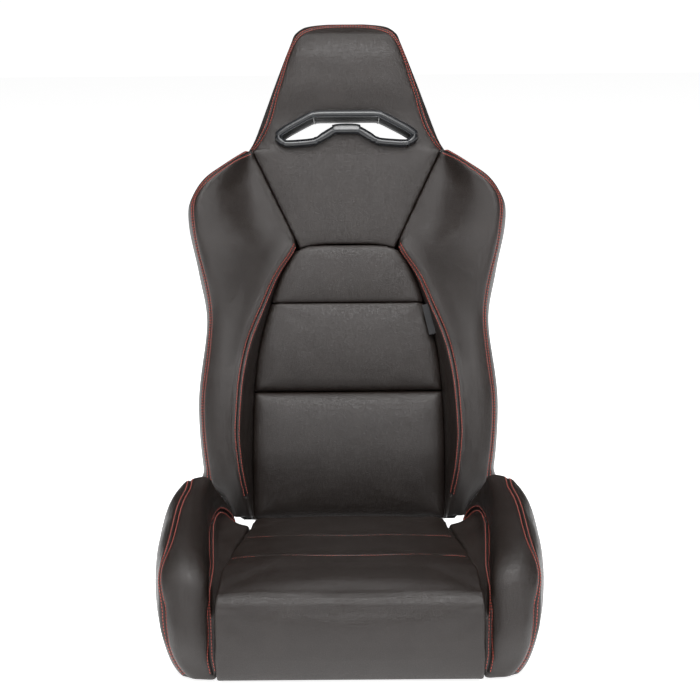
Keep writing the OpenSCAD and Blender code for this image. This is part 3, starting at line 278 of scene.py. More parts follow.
def grain_group() -> bpy.types.NodeTree:
    """Pebbled grain of pressed leather or moulded plastic: cells, finer pores and slow swells.

    Returns:
        The group, made once.
    """
    name = "Pressed Grain"
    if name in bpy.data.node_groups:
        return bpy.data.node_groups[name]
    inputs = {"Place": None, "Cell": 1.3, "Swell": 30.0}
    group, wire, start, end = new_group(name, inputs, ("Height", "Cells", "Patches"))
    place = start.outputs["Place"]
    per_metre = wire.math("DIVIDE", 1000.0, start.outputs["Cell"])
    cells = wire.node("TexVoronoi", feature="DISTANCE_TO_EDGE")
    wire.feed(cells, Vector=place, Scale=per_metre)
    pores = wire.noise(place, wire.math("MULTIPLY", per_metre, 2.1), 3.0)
    swell = wire.noise(place, wire.math("DIVIDE", 1000.0, start.outputs["Swell"]), 2.0)
    rounded = wire.fade(cells.outputs["Distance"], 0.0, 0.32)
    domes, dimples = wire.math("MULTIPLY", rounded, 0.75), wire.math("MULTIPLY", pores, 0.5)
    height = wire.math("ADD", domes, dimples)
    wire.feed(end, Height=height, Cells=rounded, Patches=swell)
    return group


def seam_group() -> bpy.types.NodeTree:
    """Groove where two cut sheets are sewn together, from the distance in millimetres to its
    middle; its Line output is painted shade in the groove.

    Returns:
        The group, made once.
    """
    name = "Sewn Line"
    if name in bpy.data.node_groups:
        return bpy.data.node_groups[name]
    group, wire, start, end = new_group(name, {"Offset": 10.0, "Width": 0.9}, ("Height", "Line"))
    away = wire.math("ABSOLUTE", start.outputs["Offset"])
    share = wire.math("DIVIDE", away, start.outputs["Width"])
    # Height: the groove's relief; Line: painted shade along the groove
    wire.feed(end, Height=wire.fade(share, 0.0, 1.6), Line=wire.fade(share, 0.5, 1.3, 1.0, 0.0))
    return group


def wear_group() -> bpy.types.NodeTree:
    """Rubbed edges and faint dust of hard pieces.

    Returns:
        The group, made once.
    """
    name = "Handled Surface"
    if name in bpy.data.node_groups:
        return bpy.data.node_groups[name]
    inputs = {"Place": None, "Speck": 3.0, "Spread": 40.0}
    group, wire, start, end = new_group(name, inputs, ("Edge", "Specks", "Patches"))
    geometry = wire.node("NewGeometry")
    edge = wire.fade(geometry.outputs["Pointiness"], 0.52, 0.6)
    place = start.outputs["Place"]
    breakup = wire.noise(place, wire.math("DIVIDE", 1000.0, start.outputs["Speck"]), 4.0)
    patches = wire.noise(place, wire.math("DIVIDE", 1000.0, start.outputs["Spread"]), 3.0)
    rubbed = wire.math("MULTIPLY", edge, breakup)
    wire.feed(end, Edge=rubbed, Specks=wire.fade(breakup, 0.56, 0.72), Patches=patches)
    return group


def place_group(wire: Wiring, group: bpy.types.NodeTree, **values: object) -> bpy.types.Node:
    """Places a shader group in a material.

    Args:
        wire: the material's wiring.
        group: the shader group.
        values: its inputs.

    Returns:
        The group's node.
    """
    return wire.feed(wire.node("Group", node_tree=group), **values)


def colour(rgb: Sequence[float]) -> tuple[float, float, float, float]:
    """A colour with full alpha."""
    return (rgb[0], rgb[1], rgb[2], 1.0)


# ---------------------------------------------------------------- finishes


@dataclass(frozen=True)
class Finish:
    """A surface finish with a base colour and a roughness range."""

    name: str
    base: Triple
    rough: float = 0.5

    def start(self) -> tuple[bpy.types.Material, Wiring, bpy.types.Node, Socket]:
        """Starts the material.

        Returns:
            The material, its wiring, its shader and its place on the piece.
        """
        material = bpy.data.materials.new(self.name)
        material.use_nodes = True
        wire = Wiring(material.node_tree)
        shader = material.node_tree.nodes["Principled BSDF"]
        place = wire.node("TexCoord").outputs["Object"]
        return material, wire, shader, place

    def shaded(self, share: float = 1.0) -> tuple[float, float, float, float]:
        """The base colour, or a darker shade of it."""
        return colour([c * share for c in self.base])

    def material(self) -> bpy.types.Material:
        """Makes the material of this finish, or finds it.

        Returns:
            The material.
        """
        if self.name in bpy.data.materials:
            return bpy.data.materials[self.name]
        material, wire, shader, place = self.start()
        self.dress(wire, shader, place)
        return material

    def dress(self, wire: Wiring, shader: bpy.types.Node, place: Socket) -> None:
        """Fills the material.

        Args:
            wire: its wiring.
            shader: its Principled BSDF.
            place: object coordinates.
        """
        raise NotImplementedError


@dataclass(frozen=True)
class Leather(Finish):
    """Pressed synthetic leather with painted shade in the groove along each seam, its sizes in
    millimetres.
    """

    cell: float = 1.3
    swell: float = 36.0
    grain: float = 0.26
    seam_width: float = 0.9
    seam_sink: float = 0.9
    worn_share: float = 0.05
    glow: Triple = (0.09, 0.076, 0.07)

    def dress(self, wire: Wiring, shader: bpy.types.Node, place: Socket) -> None:
        """Fills the material.

        Args:
            wire: its wiring.
            shader: its Principled BSDF.
            place: object coordinates.
        """
        grain = place_group(wire, grain_group(), Place=place, Cell=self.cell, Swell=self.swell)
        offset = wire.node("Attribute", attribute_name="seam_offset").outputs["Fac"]
        seam = place_group(wire, seam_group(), Offset=offset, Width=self.seam_width)
        worn = wire.fade(grain.outputs["Patches"], 0.35, 0.7)
        worn = wire.math("MULTIPLY", worn, self.worn_share)
        body = wire.mix(worn, self.shaded(), colour(self.glow))
        pits = wire.math("MULTIPLY_ADD", grain.outputs["Cells"], -0.3, 0.3)
        pitted = wire.mix(pits, body, self.shaded(0.45))
        # painted shade: the groove along each seam is darkened towards 12% of the base colour
        seam_shaded = wire.mix(seam.outputs["Line"], pitted, self.shaded(0.12))
        rough = wire.math("MULTIPLY_ADD", grain.outputs["Patches"], 0.06, self.rough - 0.03)
        rough = wire.math("MULTIPLY_ADD", pits, 0.3, rough)
        sunk = wire.math("MULTIPLY", seam.outputs["Height"], self.seam_sink)
        height = wire.math("MULTIPLY_ADD", grain.outputs["Height"], self.grain, sunk)
        wire.feed(shader, Base_Color=seam_shaded, Roughness=rough, Normal=wire.relief(height))


@dataclass(frozen=True)
class Plastic(Finish):
    """Moulded plastic, grained or glossy, with rubbed edges, pale specks and painted shade inside a
    belt slot's marked sleeve.

    Its cell, grain and speck_size are in millimetres, coat and specks are shares.
    """

    cell: float = 1.1
    grain: float = 0.1
    coat: float = 0.0
    specks: float = 0.0
    speck_size: float = 1.6
    rub: Triple = (0.2, 0.2, 0.21)
    coat_rough: float = 0.12

    def dress(self, wire: Wiring, shader: bpy.types.Node, place: Socket) -> None:
        """Fills the material.

        Args:
            wire: its wiring.
            shader: its Principled BSDF.
            place: object coordinates.
        """
        grain = place_group(wire, grain_group(), Place=place, Cell=self.cell, Swell=50.0)
        wear = place_group(wire, wear_group(), Place=place, Speck=self.speck_size, Spread=60.0)
        specks = wire.math("MULTIPLY", wear.outputs["Specks"], self.specks)
        body = wire.mix(specks, self.shaded(), colour(self.rub))
        rubbed = wire.mix(wire.math("MULTIPLY", wear.outputs["Edge"], 0.6), body, colour(self.rub))
        # in_sleeve marks the sleeve inside the belt slot: rougher, uncoated and darkened there as
        # painted shade
        dull = wire.node("Attribute", attribute_name="in_sleeve").outputs["Fac"]
        rough = wire.math(
            "MULTIPLY_ADD", wear.outputs["Patches"], 0.2, self.rough - 0.1, clamp=True
        )
        rough = wire.math("MULTIPLY_ADD", dull, 0.6, rough, clamp=True)
        relief = wire.relief(wire.math("MULTIPLY", grain.outputs["Height"], self.grain))
        # painted shade: inside the belt slot's sleeve the colour is darkened to 30% of the base
        shown = wire.mix(dull, rubbed, self.shaded(0.3))
        coat = wire.math("MULTIPLY_ADD", dull, -self.coat, self.coat, clamp=True)
        wire.feed(shader, Base_Color=shown, Roughness=rough, Normal=relief)
        wire.feed(shader, Coat_Weight=coat, Coat_Roughness=self.coat_rough)


@dataclass(frozen=True)
class Metal(Finish):
    """Bare or plated steel with fine drawing marks."""

    metallic: float = 1.0
    marks: float = 0.08
    tarnish: Triple = (0.12, 0.11, 0.1)

    def dress(self, wire: Wiring, shader: bpy.types.Node, place: Socket) -> None:
        """Fills the material.

        Args:
            wire: its wiring.
            shader: its Principled BSDF.
            place: object coordinates.
        """
        wear = place_group(wire, wear_group(), Place=place, Speck=2.2, Spread=25.0)
        stretched = wire.feed(wire.node("Mapping"), Vector=place, Scale=(1500.0, 90.0, 90.0))
        lines = wire.noise(stretched.outputs[0], 1.0, 4.0)
        dull = wire.fade(wear.outputs["Patches"], 0.42, 0.7)
        body = wire.mix(wire.math("MULTIPLY", dull, 0.5), self.shaded(), colour(self.tarnish))
        duller = wire.math("MULTIPLY_ADD", dull, 0.2, self.rough - 0.12)
        rough = wire.math("MULTIPLY_ADD", lines, 0.25, duller, clamp=True)
        relief = wire.relief(wire.math("MULTIPLY", lines, self.marks))
        wire.feed(shader, Base_Color=body, Roughness=rough, Normal=relief, Metallic=self.metallic)


@dataclass(frozen=True)
class Paint(Finish):
    """Powder coat over steel, orange-peeled and rubbed bare at its edges."""

    bare: Triple = (0.3, 0.3, 0.31)

    def dress(self, wire: Wiring, shader: bpy.types.Node, place: Socket) -> None:
        """Fills the material.

        Args:
            wire: its wiring.
            shader: its Principled BSDF.
            place: object coordinates.
        """
        wear = place_group(wire, wear_group(), Place=place, Speck=2.6, Spread=70.0)
        peel = wire.noise(place, 700.0, 2.0)
        chipped = wire.fade(wear.outputs["Edge"], 0.6, 0.7)
        body = wire.mix(chipped, self.shaded(), colour(self.bare))
        rough = wire.math(
            "MULTIPLY_ADD", wear.outputs["Patches"], 0.25, self.rough - 0.1, clamp=True
        )
        relief = wire.relief(wire.math("MULTIPLY", peel, 0.12))
        shine = wire.math("MULTIPLY", chipped, 0.8)
        wire.feed(shader, Base_Color=body, Roughness=rough, Normal=relief, Metallic=shine)


@dataclass(frozen=True)
class Woven(Finish):
    """Spun thread or felt: strands with a little fuzz, their sizes in millimetres."""

    strand: float = 0.5
    relief: float = 0.2
    sheen: float = 0.25

    def dress(self, wire: Wiring, shader: bpy.types.Node, place: Socket) -> None:
        """Fills the material.

        Args:
            wire: its wiring.
            shader: its Principled BSDF.
            place: object coordinates.
        """
        per_metre = 1.0 / (self.strand * MM)
        twist = wire.node("TexWave", bands_direction="DIAGONAL")
        wire.feed(twist, Vector=place, Scale=0.16 * per_metre, Distortion=1.5, Detail=1.0)
        fuzz = wire.noise(place, per_metre, 3.0)
        deep = wire.math("MULTIPLY", twist.outputs[1], 0.45)
        body = wire.mix(deep, self.shaded(), self.shaded(0.5))
        pale = colour([min(1.0, c * 1.5 + 0.01) for c in self.base])
        body = wire.mix(wire.math("MULTIPLY", fuzz, 0.2), body, pale)
        height = wire.math("MULTIPLY_ADD", fuzz, 0.5, twist.outputs[1])
        relief = wire.relief(wire.math("MULTIPLY", height, self.relief))
        rough = wire.math("MULTIPLY_ADD", fuzz, 0.2, self.rough - 0.1)
        wire.feed(shader, Base_Color=body, Roughness=rough, Normal=relief, Sheen_Weight=self.sheen)


@dataclass(frozen=True)
class Floor(Finish):
    """Pale studio floor with faint mottling, lit through from below."""

    glow: float = 1.0

    def dress(self, wire: Wiring, shader: bpy.types.Node, place: Socket) -> None:
        """Fills the material.

        Args:
            wire: its wiring.
            shader: its Principled BSDF.
            place: object coordinates.
        """
        cloud = wire.math("MULTIPLY", wire.noise(place, 2.0, 3.0), 0.1)
        body = wire.mix(cloud, self.shaded(), self.shaded(0.95))
        wire.feed(shader, Base_Color=body, Roughness=self.rough)
        wire.feed(shader, Emission_Color=body, Emission_Strength=self.glow)


LEATHER = Leather("Charcoal leather", (0.0105, 0.0063, 0.0047), rough=0.31)
THREAD = Woven("Red thread", (0.6, 0.075, 0.045), rough=0.7, strand=0.35, relief=0.3)
RIBBON = Woven("Black ribbon", (0.008, 0.008, 0.009), rough=0.8, strand=0.5, relief=0.25)
FELT = Woven("Grey felt", (0.07, 0.07, 0.075), rough=0.9, strand=2.0, relief=0.6)
BEZEL = Plastic(
    "Speckled bezel", (0.007, 0.008, 0.0095), rough=0.3, cell=1.2, grain=0.06,
    coat=0.3, specks=0.3, speck_size=1.8, rub=(0.05, 0.056, 0.066),
)
SHELL = Plastic(
    "Grained shell", (0.02, 0.02, 0.021), rough=0.55, cell=1.5, grain=0.22,
    specks=0.1, speck_size=2.5, rub=(0.08, 0.08, 0.083),
)
COVER = Plastic("Cover plastic", (0.016, 0.016, 0.017), rough=0.5, cell=1.0, grain=0.14)
GRIP = Plastic("Grip plastic", (0.012, 0.012, 0.013), rough=0.62, cell=0.9, grain=0.2)
FRAME_PAINT = Paint("Frame paint", (0.012, 0.012, 0.013), rough=0.42)
SPRING = Metal("Spring wire", (0.16, 0.16, 0.17), rough=0.42)
BARE_STEEL = Metal("Recliner steel", (0.05, 0.05, 0.053), rough=0.5)
ZINC = Metal("Zinc plate", (0.6, 0.59, 0.55), rough=0.34)
FLOOR = Floor("Studio floor", (0.92, 0.92, 0.92), rough=0.7)


# ---------------------------------------------------------------- mesh tools


def add_object(name: str, data: bpy.types.ID) -> bpy.types.Object:
    """Puts a new object into the scene.

    Args:
        name: its name.
        data: its mesh, light or camera.

    Returns:
        The object.
    """
    obj = bpy.data.objects.new(name, data)
    bpy.context.scene.collection.objects.link(obj)
    return obj


def alone(obj: bpy.types.Object) -> None:
    """Selects one object and nothing else, and makes it active.

    Args:
        obj: the object.
    """
    if bpy.context.object and bpy.context.object.mode != "OBJECT":
        bpy.ops.object.mode_set(mode="OBJECT")
    bpy.ops.object.select_all(action="DESELECT")
    obj.select_set(True)
    bpy.context.view_layer.objects.active = obj


def apply_modifier(obj: bpy.types.Object, kind: str, **settings: object) -> None:
    """Adds a modifier and applies it.

    Args:
        obj: the object.
        kind: modifier type.
        settings: its properties.
    """
    alone(obj)
    made = obj.modifiers.new(kind.lower(), kind)
    for key, value in settings.items():
        setattr(made, key, value)
    bpy.ops.object.modifier_apply(modifier=made.name)


def shade(obj: bpy.types.Object, finish: Finish, angle: float | None = None) -> None:
    """Smooths the shading of a finished piece and gives it its material.

    Args:
        obj: the piece.
        finish: its finish.
        angle: edges sharper than this many degrees stay sharp; none do without it.
    """
    alone(obj)
    if angle is None:
        bpy.ops.object.shade_smooth()
    else:
        bpy.ops.object.shade_smooth_by_angle(angle=math.radians(angle))
    obj.data.materials.clear()
    obj.data.materials.append(finish.material())


def copy_of(nodes: Nodes, name: str, source: str) -> bpy.types.Object:
    """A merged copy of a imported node, as a piece of its own.

    Args:
        nodes: the frame's nodes.
        name: name of the new piece.
        source: the node that is copied.

    Returns:
        The new object.
    """
    mesh = bpy.data.meshes.new(name)
    work = bmesh.new()
    work.from_mesh(nodes[source].data)
    bmesh.ops.remove_doubles(work, verts=work.verts, dist=WELD)
    work.to_mesh(mesh)
    work.free()
    return add_object(name, mesh)


def settle(obj: bpy.types.Object, body: Body, slot: Slot, *nodes: str) -> None:
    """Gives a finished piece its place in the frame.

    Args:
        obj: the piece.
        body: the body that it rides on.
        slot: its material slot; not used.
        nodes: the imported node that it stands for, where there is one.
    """
    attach(obj, body.value)
    for node in nodes:
        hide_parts(node)


def corners(obj: bpy.types.Object) -> np.ndarray:
    """The vertices of a piece.

    Args:
        obj: the piece.

    Returns:
        One row for each, in metres.
    """
    flat = np.empty(len(obj.data.vertices) * 3)
    obj.data.vertices.foreach_get("co", flat)
    return flat.reshape(-1, 3)


def set_corners(obj: bpy.types.Object, points: np.ndarray) -> None:
    """Moves the vertices of a piece to new places."""
    obj.data.vertices.foreach_set("co", points.ravel())
    obj.data.update()


def corner_normals(obj: bpy.types.Object) -> np.ndarray:
    """The normals at the vertices of a piece.

    Args:
        obj: the piece.

    Returns:
        One row for each.
    """
    flat = np.empty(len(obj.data.vertices) * 3)
    obj.data.vertex_normals.foreach_get("vector", flat)
    return flat.reshape(-1, 3)


def surface_of(obj: bpy.types.Object) -> BVHTree:
    """A tree for finding places on a piece.

    Args:
        obj: the piece.

    Returns:
        The tree.
    """
    mesh = obj.data
    places, faces = [v.co.copy() for v in mesh.vertices], [list(p.vertices) for p in mesh.polygons]
    return BVHTree.FromPolygons(places, faces)


def subdivided_corners(obj: bpy.types.Object) -> np.ndarray:
    """Where subdivision would put the vertices that a piece already has.

    Args:
        obj: the piece.

    Returns:
        One row for each vertex.
    """
    trial = add_object("trial", obj.data.copy())
    apply_modifier(trial, "SUBSURF", levels=1, render_levels=1)
    points = corners(trial)[: len(obj.data.vertices)]
    bpy.data.objects.remove(trial)
    return points


def round_off(obj: bpy.types.Object, sharp: float, levels: int = 2) -> None:
    """Rounds a faceted loft by subdivision, keeping its outline and its sharp edges.

    Args:
        obj: the piece.
        sharp: edges with a turn over this many degrees keep most of their edge.
        levels: how often it is subdivided.
    """
    alone(obj)
    bpy.ops.object.mode_set(mode="EDIT")
    bpy.ops.mesh.select_all(action="SELECT")
    flat, square = math.radians(60), math.radians(80)
    bpy.ops.mesh.tris_convert_to_quads(face_threshold=flat, shape_threshold=square)
    bpy.ops.object.mode_set(mode="OBJECT")
    work = bmesh.new()
    work.from_mesh(obj.data)
    layers = work.edges.layers.float
    crease = layers.get("crease_edge") or layers.new("crease_edge")
    for edge in work.edges:
        if len(edge.link_faces) == 2 and edge.calc_face_angle(0.0) > math.radians(sharp):
            edge[crease] = SHARP_CREASE
    work.to_mesh(obj.data)
    work.free()
    aims = corners(obj)
    for _ in range(AIM_TRIES):
        set_corners(obj, corners(obj) + AIM_SHARE * (aims - subdivided_corners(obj)))
    apply_modifier(obj, "SUBSURF", levels=levels, render_levels=levels)


def finder(places: Sequence[Sequence[float]]) -> KDTree:
    """A tree for finding the nearest of some places.

    Args:
        places: the places.

    Returns:
        The tree, which numbers them in their order.
    """
    tree = KDTree(len(places))
    for i, place in enumerate(places):
        tree.insert(place, i)
    tree.balance()
    return tree


def neighbour_means(obj: bpy.types.Object, values: np.ndarray) -> np.ndarray:
    """The mean of what each vertex's neighbours have.

    Args:
        obj: the piece.
        values: a row for each of its vertices, such as its place.

    Returns:
        A row of means for each vertex.
    """
    count, width = values.shape
    ends = np.empty(len(obj.data.edges) * 2, dtype=np.int64)
    obj.data.edges.foreach_get("vertices", ends)
    a, b = ends.reshape(-1, 2).T
    near = np.bincount(a, minlength=count) + np.bincount(b, minlength=count)
    total = [
        np.bincount(a, values[b, k], count) + np.bincount(b, values[a, k], count)
        for k in range(width)
    ]
    return np.stack(total, axis=1) / near[:, None]


def relax(obj: bpy.types.Object, passes: int) -> None:
    """Evens out a mesh without shrinking it.

    Args:
        obj: the piece.
        passes: how many pairs of smoothing and back-smoothing passes run.
    """
    points = corners(obj)
    for share in SMOOTHING * passes:
        points = points + share * (neighbour_means(obj, points) - points)
    set_corners(obj, points)


def hug(obj: bpy.types.Object, tree: BVHTree, share: float = 1.0) -> None:
    """Lays the vertices of a piece back on a surface.

    Args:
        obj: the piece.
        tree: the surface.
        share: how far each vertex goes towards it.
    """
    points = corners(obj)
    nearest = np.array([tree.find_nearest(p)[0] for p in points])
    set_corners(obj, points + share * (nearest - points))


def swell(obj: bpy.types.Object, held: np.ndarray, cap: float, pressure: float = 4.0) -> None:
    """Lets the cover of a stuffed piece swell under pressure, as cloth.

    Args:
        obj: the piece, remeshed.
        held: share by which each vertex is held, from 0 to 1.
        cap: furthest that the cover may move, in metres.
        pressure: pressure under the cover.
    """
    alone(obj)
    rest = corners(obj)
    pins = obj.vertex_groups.new(name="held")
    for level in range(11):
        chosen = np.nonzero(np.round(held * 10).astype(int) == level)[0]
        if level and len(chosen):
            pins.add(chosen.tolist(), level / 10, "REPLACE")
    cloth = obj.modifiers.new("cloth", "CLOTH")
    settings = cloth.settings
    settings.quality = 4
    settings.mass = 0.35
    settings.tension_stiffness = settings.compression_stiffness = settings.shear_stiffness = 18.0
    settings.bending_stiffness = 3.0
    settings.use_pressure = True
    settings.uniform_pressure_force = pressure
    settings.effector_weights.gravity = 0.0
    settings.vertex_group_mass = "held"
    cloth.point_cache.frame_start = 1
    cloth.point_cache.frame_end = SWELL_FRAMES
    scene = bpy.context.scene
    for frame in range(1, SWELL_FRAMES + 1):
        scene.frame_set(frame)
    bpy.ops.object.modifier_apply(modifier=cloth.name)
    scene.frame_set(1)
    moved = corners(obj)
    set_corners(obj, rest)
    normals = corner_normals(obj)
    free = 1.0 - held[:, None]
    rise = cap * np.tanh(((moved - rest) * normals).sum(1)[:, None] / cap) * free
    for _ in range(SWELL_EVENING):
        rise = 0.5 * rise + 0.5 * neighbour_means(obj, rise)
    set_corners(obj, rest + normals * rise * (0.5 + 0.5 * free))
    obj.vertex_groups.clear()


def step(values: np.ndarray, low: float, high: float) -> np.ndarray:
    """Smooth step of an array from 0 at low to 1 at high."""
    t = np.clip((values - low) / (high - low), 0.0, 1.0)
    return t * t * (3 - 2 * t)


def band(values: np.ndarray, low: float, full: float, end: float, high: float) -> np.ndarray:
    """Smooth band of an array, 1 from full to end and 0 beyond low and high."""
    return step(values, low, full) * (1 - step(values, end, high))


def mirrored_copy(obj: bpy.types.Object, name: str) -> bpy.types.Object:
    """The same piece for the other side of the seat, as a mesh of its own.

    Args:
        obj: the left piece.
        name: name of the right one.

    Returns:
        The right piece.
    """
    twin = add_object(name, obj.data.copy())
    points = corners(twin)
    points[:, 0] *= -1
    twin.data.flip_normals()
    set_corners(twin, points)
    return twin


# ---------------------------------------------------------------- seams and stitches


def smooth_line(points: Sequence[Sequence[float]], gap: float = 1.0) -> list[Vector]:
    """A smooth line through points.

    Args:
        points: places in millimetres.
        gap: distance between the line's points, in millimetres.

    Returns:
        Evenly spaced places, in millimetres.
    """
    knots = np.array(points, float)
    padded = np.vstack([2 * knots[0] - knots[1], knots, 2 * knots[-1] - knots[-2]])
    dense = []
    for i in range(1, len(padded) - 2):
        p0, p1, p2, p3 = padded[i - 1 : i + 3]
        for t in np.linspace(0, 1, 24, endpoint=False):
            bend = (2 * p0 - 5 * p1 + 4 * p2 - p3) * t**2
            twist = (3 * p1 - p0 - 3 * p2 + p3) * t**3
            dense.append(0.5 * (2 * p1 + (p2 - p0) * t + bend + twist))
    dense = np.array(dense + [padded[-2]])
    along = np.concatenate([[0], np.cumsum(np.linalg.norm(np.diff(dense, axis=0), axis=1))])
    places = np.arange(0, along[-1], gap)
    return [
        Vector([np.interp(s, along, dense[:, k]) for k in range(dense.shape[1])]) for s in places
    ]


@dataclass
class Seam:
    """A sewn line on the face of a padded piece, its sizes in millimetres."""

    line: list[Vector]
    depth: float
    width: float = 2.6
    rows: Rows = Rows.DOUBLE
    ease: int = 6
    reach: float = 18.0
    through: float = 12.0
    past_end: float = 1.0
    ridge: float = 0.25
    ridge_at: float = 7.5
    ridge_width: float = 3.5

    def laid_on(self, tree: BVHTree) -> Path:
        """The seam on a surface.

        Args:
            tree: the surface.

        Returns:
            Place, outward normal and direction at each point.
        """
        found = [tree.find_nearest(p) for p in self.line]
        for _ in range(2):
            eased = np.array([f[0] for f in found])
            for i in range(1, len(eased) - 1):
                reach = min(self.ease, i, len(eased) - 1 - i)
                near = found[i - reach : i + reach + 1]
                eased[i] = np.mean([f[0] for f in near], axis=0)
            found = [tree.find_nearest(p) for p in eased]
        places = [f[0] for f in found]
        out = []
        for i, f in enumerate(found):
            way = places[min(i + 2, len(places) - 1)] - places[max(i - 2, 0)]
            out.append((f[0], f[1], way.normalized()))
        return out


def sew(obj: bpy.types.Object, seams: Sequence[Seam]) -> list[tuple[Seam, Path]]:
    """Pulls the face in along its seams and marks the distance to them.

    Args:
        obj: the padded piece.
        seams: its seams.

    Returns:
        Each seam with its points on the face before it was pulled in.
    """
    points, normals = corners(obj), corner_normals(obj)
    offset = np.full(len(points), FAR_FROM_SEAM)
    tree = surface_of(obj)
    laid = [(seam, seam.laid_on(tree)) for seam in seams]
    for seam, path in laid:
        places = np.array([p for p, _, _ in path])
        ways = np.array([w for _, _, w in path])
        near = finder(places)
        margin = (seam.reach + 2.0) * MM
        low, high = places.min(0) - margin, places.max(0) + margin
        for i in np.nonzero(((points > low) & (points < high)).all(1))[0]:
            _, k, far = near.find(points[i])
            if far * 1000 > seam.reach:
                continue
            gap = (points[i] - places[k]) * 1000
            past = float(np.dot(gap, ways[k]))
            before_start = k == 0 and past < -seam.past_end
            behind_end = k == len(places) - 1 and past > seam.past_end
            if before_start or behind_end or abs(float(np.dot(gap, normals[i]))) > seam.through:
                continue
            signed = float(np.dot(gap, np.cross(ways[k], normals[i])))
            if abs(signed) < abs(offset[i]):
                offset[i] = signed
            pull = math.exp(-((signed / seam.width) ** 2))
            rise = seam.ridge * math.exp(-(((abs(signed) - seam.ridge_at) / seam.ridge_width) ** 2))
            points[i] += normals[i] * seam.depth * (rise - pull) * MM
    set_corners(obj, points)
    mark = obj.data.attributes.new("seam_offset", "FLOAT", "POINT")
    mark.data.foreach_set("value", offset)
    return laid


@dataclass
class Stitching:
    """Thread sewn along seams, one short stitch after another, its sizes in millimetres."""

    pitch: float = 4.6
    length: float = 3.8
    thick: float = 0.45
    sink: float = 0.15
    dip: float = 2.2

    def stitch(self) -> tuple[np.ndarray, list[list[int]]]:
        """One stitch along X whose ends dip into the face.

        Returns:
            Its vertices in millimetres and its faces.
        """
        bpy.ops.object.select_all(action="DESELECT")
        bpy.ops.mesh.primitive_cylinder_add(
            vertices=6, radius=self.thick, depth=self.length, rotation=(0, math.pi / 2, 0)
        )
        made = bpy.context.object
        bpy.ops.object.transform_apply(location=False, rotation=True, scale=False)
        bpy.ops.object.mode_set(mode="EDIT")
        for cut in (-self.length / 4, self.length / 4):
            bpy.ops.mesh.select_all(action="SELECT")
            bpy.ops.mesh.bisect(plane_co=(cut, 0, 0), plane_no=(1, 0, 0))
        bpy.ops.object.mode_set(mode="OBJECT")
        points = corners(made)
        drop = (np.abs(points[:, 0]) / (self.length / 2)) ** 2.5
        points[:, 2] -= drop * self.thick * self.dip
        faces = [list(p.vertices) for p in made.data.polygons]
        bpy.data.objects.remove(made)
        return points, faces

    def run(
        self, name: str, obj: bpy.types.Object, laid: Sequence[tuple[Seam, Path]], body: Body
    ) -> bpy.types.Object:
        """Sews thread along the seams of a piece.

        Args:
            name: name of the thread's piece.
            obj: the padded piece, already pulled in.
            laid: its seams with their points.
            body: the body that it rides on.

        Returns:
            The thread.
        """
        tree = surface_of(obj)
        points, faces = self.stitch()
        spots: list[Matrix] = []
        for seam, path in laid:
            for row in seam.rows.value:
                line = []
                for place, normal, way in path:
                    hit = tree.find_nearest(place + way.cross(normal).normalized() * row * MM)
                    line.append((hit[0], hit[1]))
                spots += self.spots_along(line)
        placed = [
            np.array(m.to_3x3()) @ (points.T * MM) + np.array(m.translation)[:, None] for m in spots
        ]
        starts = range(0, len(spots) * len(points), len(points))
        numbered = [[v + start for v in face] for start in starts for face in faces]
        mesh = bpy.data.meshes.new(name)
        mesh.from_pydata(np.concatenate([p.T for p in placed]).tolist(), [], numbered)
        thread = add_object(name, mesh)
        shade(thread, THREAD)
        settle(thread, body, Slot.UPHOLSTERY)
        log.info("%s: %d stitches", name, len(spots))
        return thread

    def spots_along(self, line: Sequence[tuple[Vector, Vector]]) -> list[Matrix]:
        """Where the stitches of one row stand.

        Args:
            line: places and normals along the row.

        Returns:
            One turned place for each stitch.
        """
        along = [0.0]
        for (a, _), (b, _) in zip(line, line[1:]):
            along.append(along[-1] + (b - a).length * 1000)
        spots, at, i = [], self.pitch / 2, 0
        while at < along[-1] - self.pitch / 2:
            while along[i + 1] < at:
                i += 1
            share = (at - along[i]) / max(along[i + 1] - along[i], 1e-6)
            place = line[i][0].lerp(line[i + 1][0], share)
            up = line[i][1]
            way = (line[min(i + 2, len(line) - 1)][0] - line[max(i - 2, 0)][0]).normalized()
            side = up.cross(way).normalized()
            up = way.cross(side)
            turn = Matrix((way, side, up)).transposed().to_4x4()
            spots.append(Matrix.Translation(place + up * (self.thick - self.sink) * MM) @ turn)
            at += self.pitch
        return spots


# ---------------------------------------------------------------- upholstery


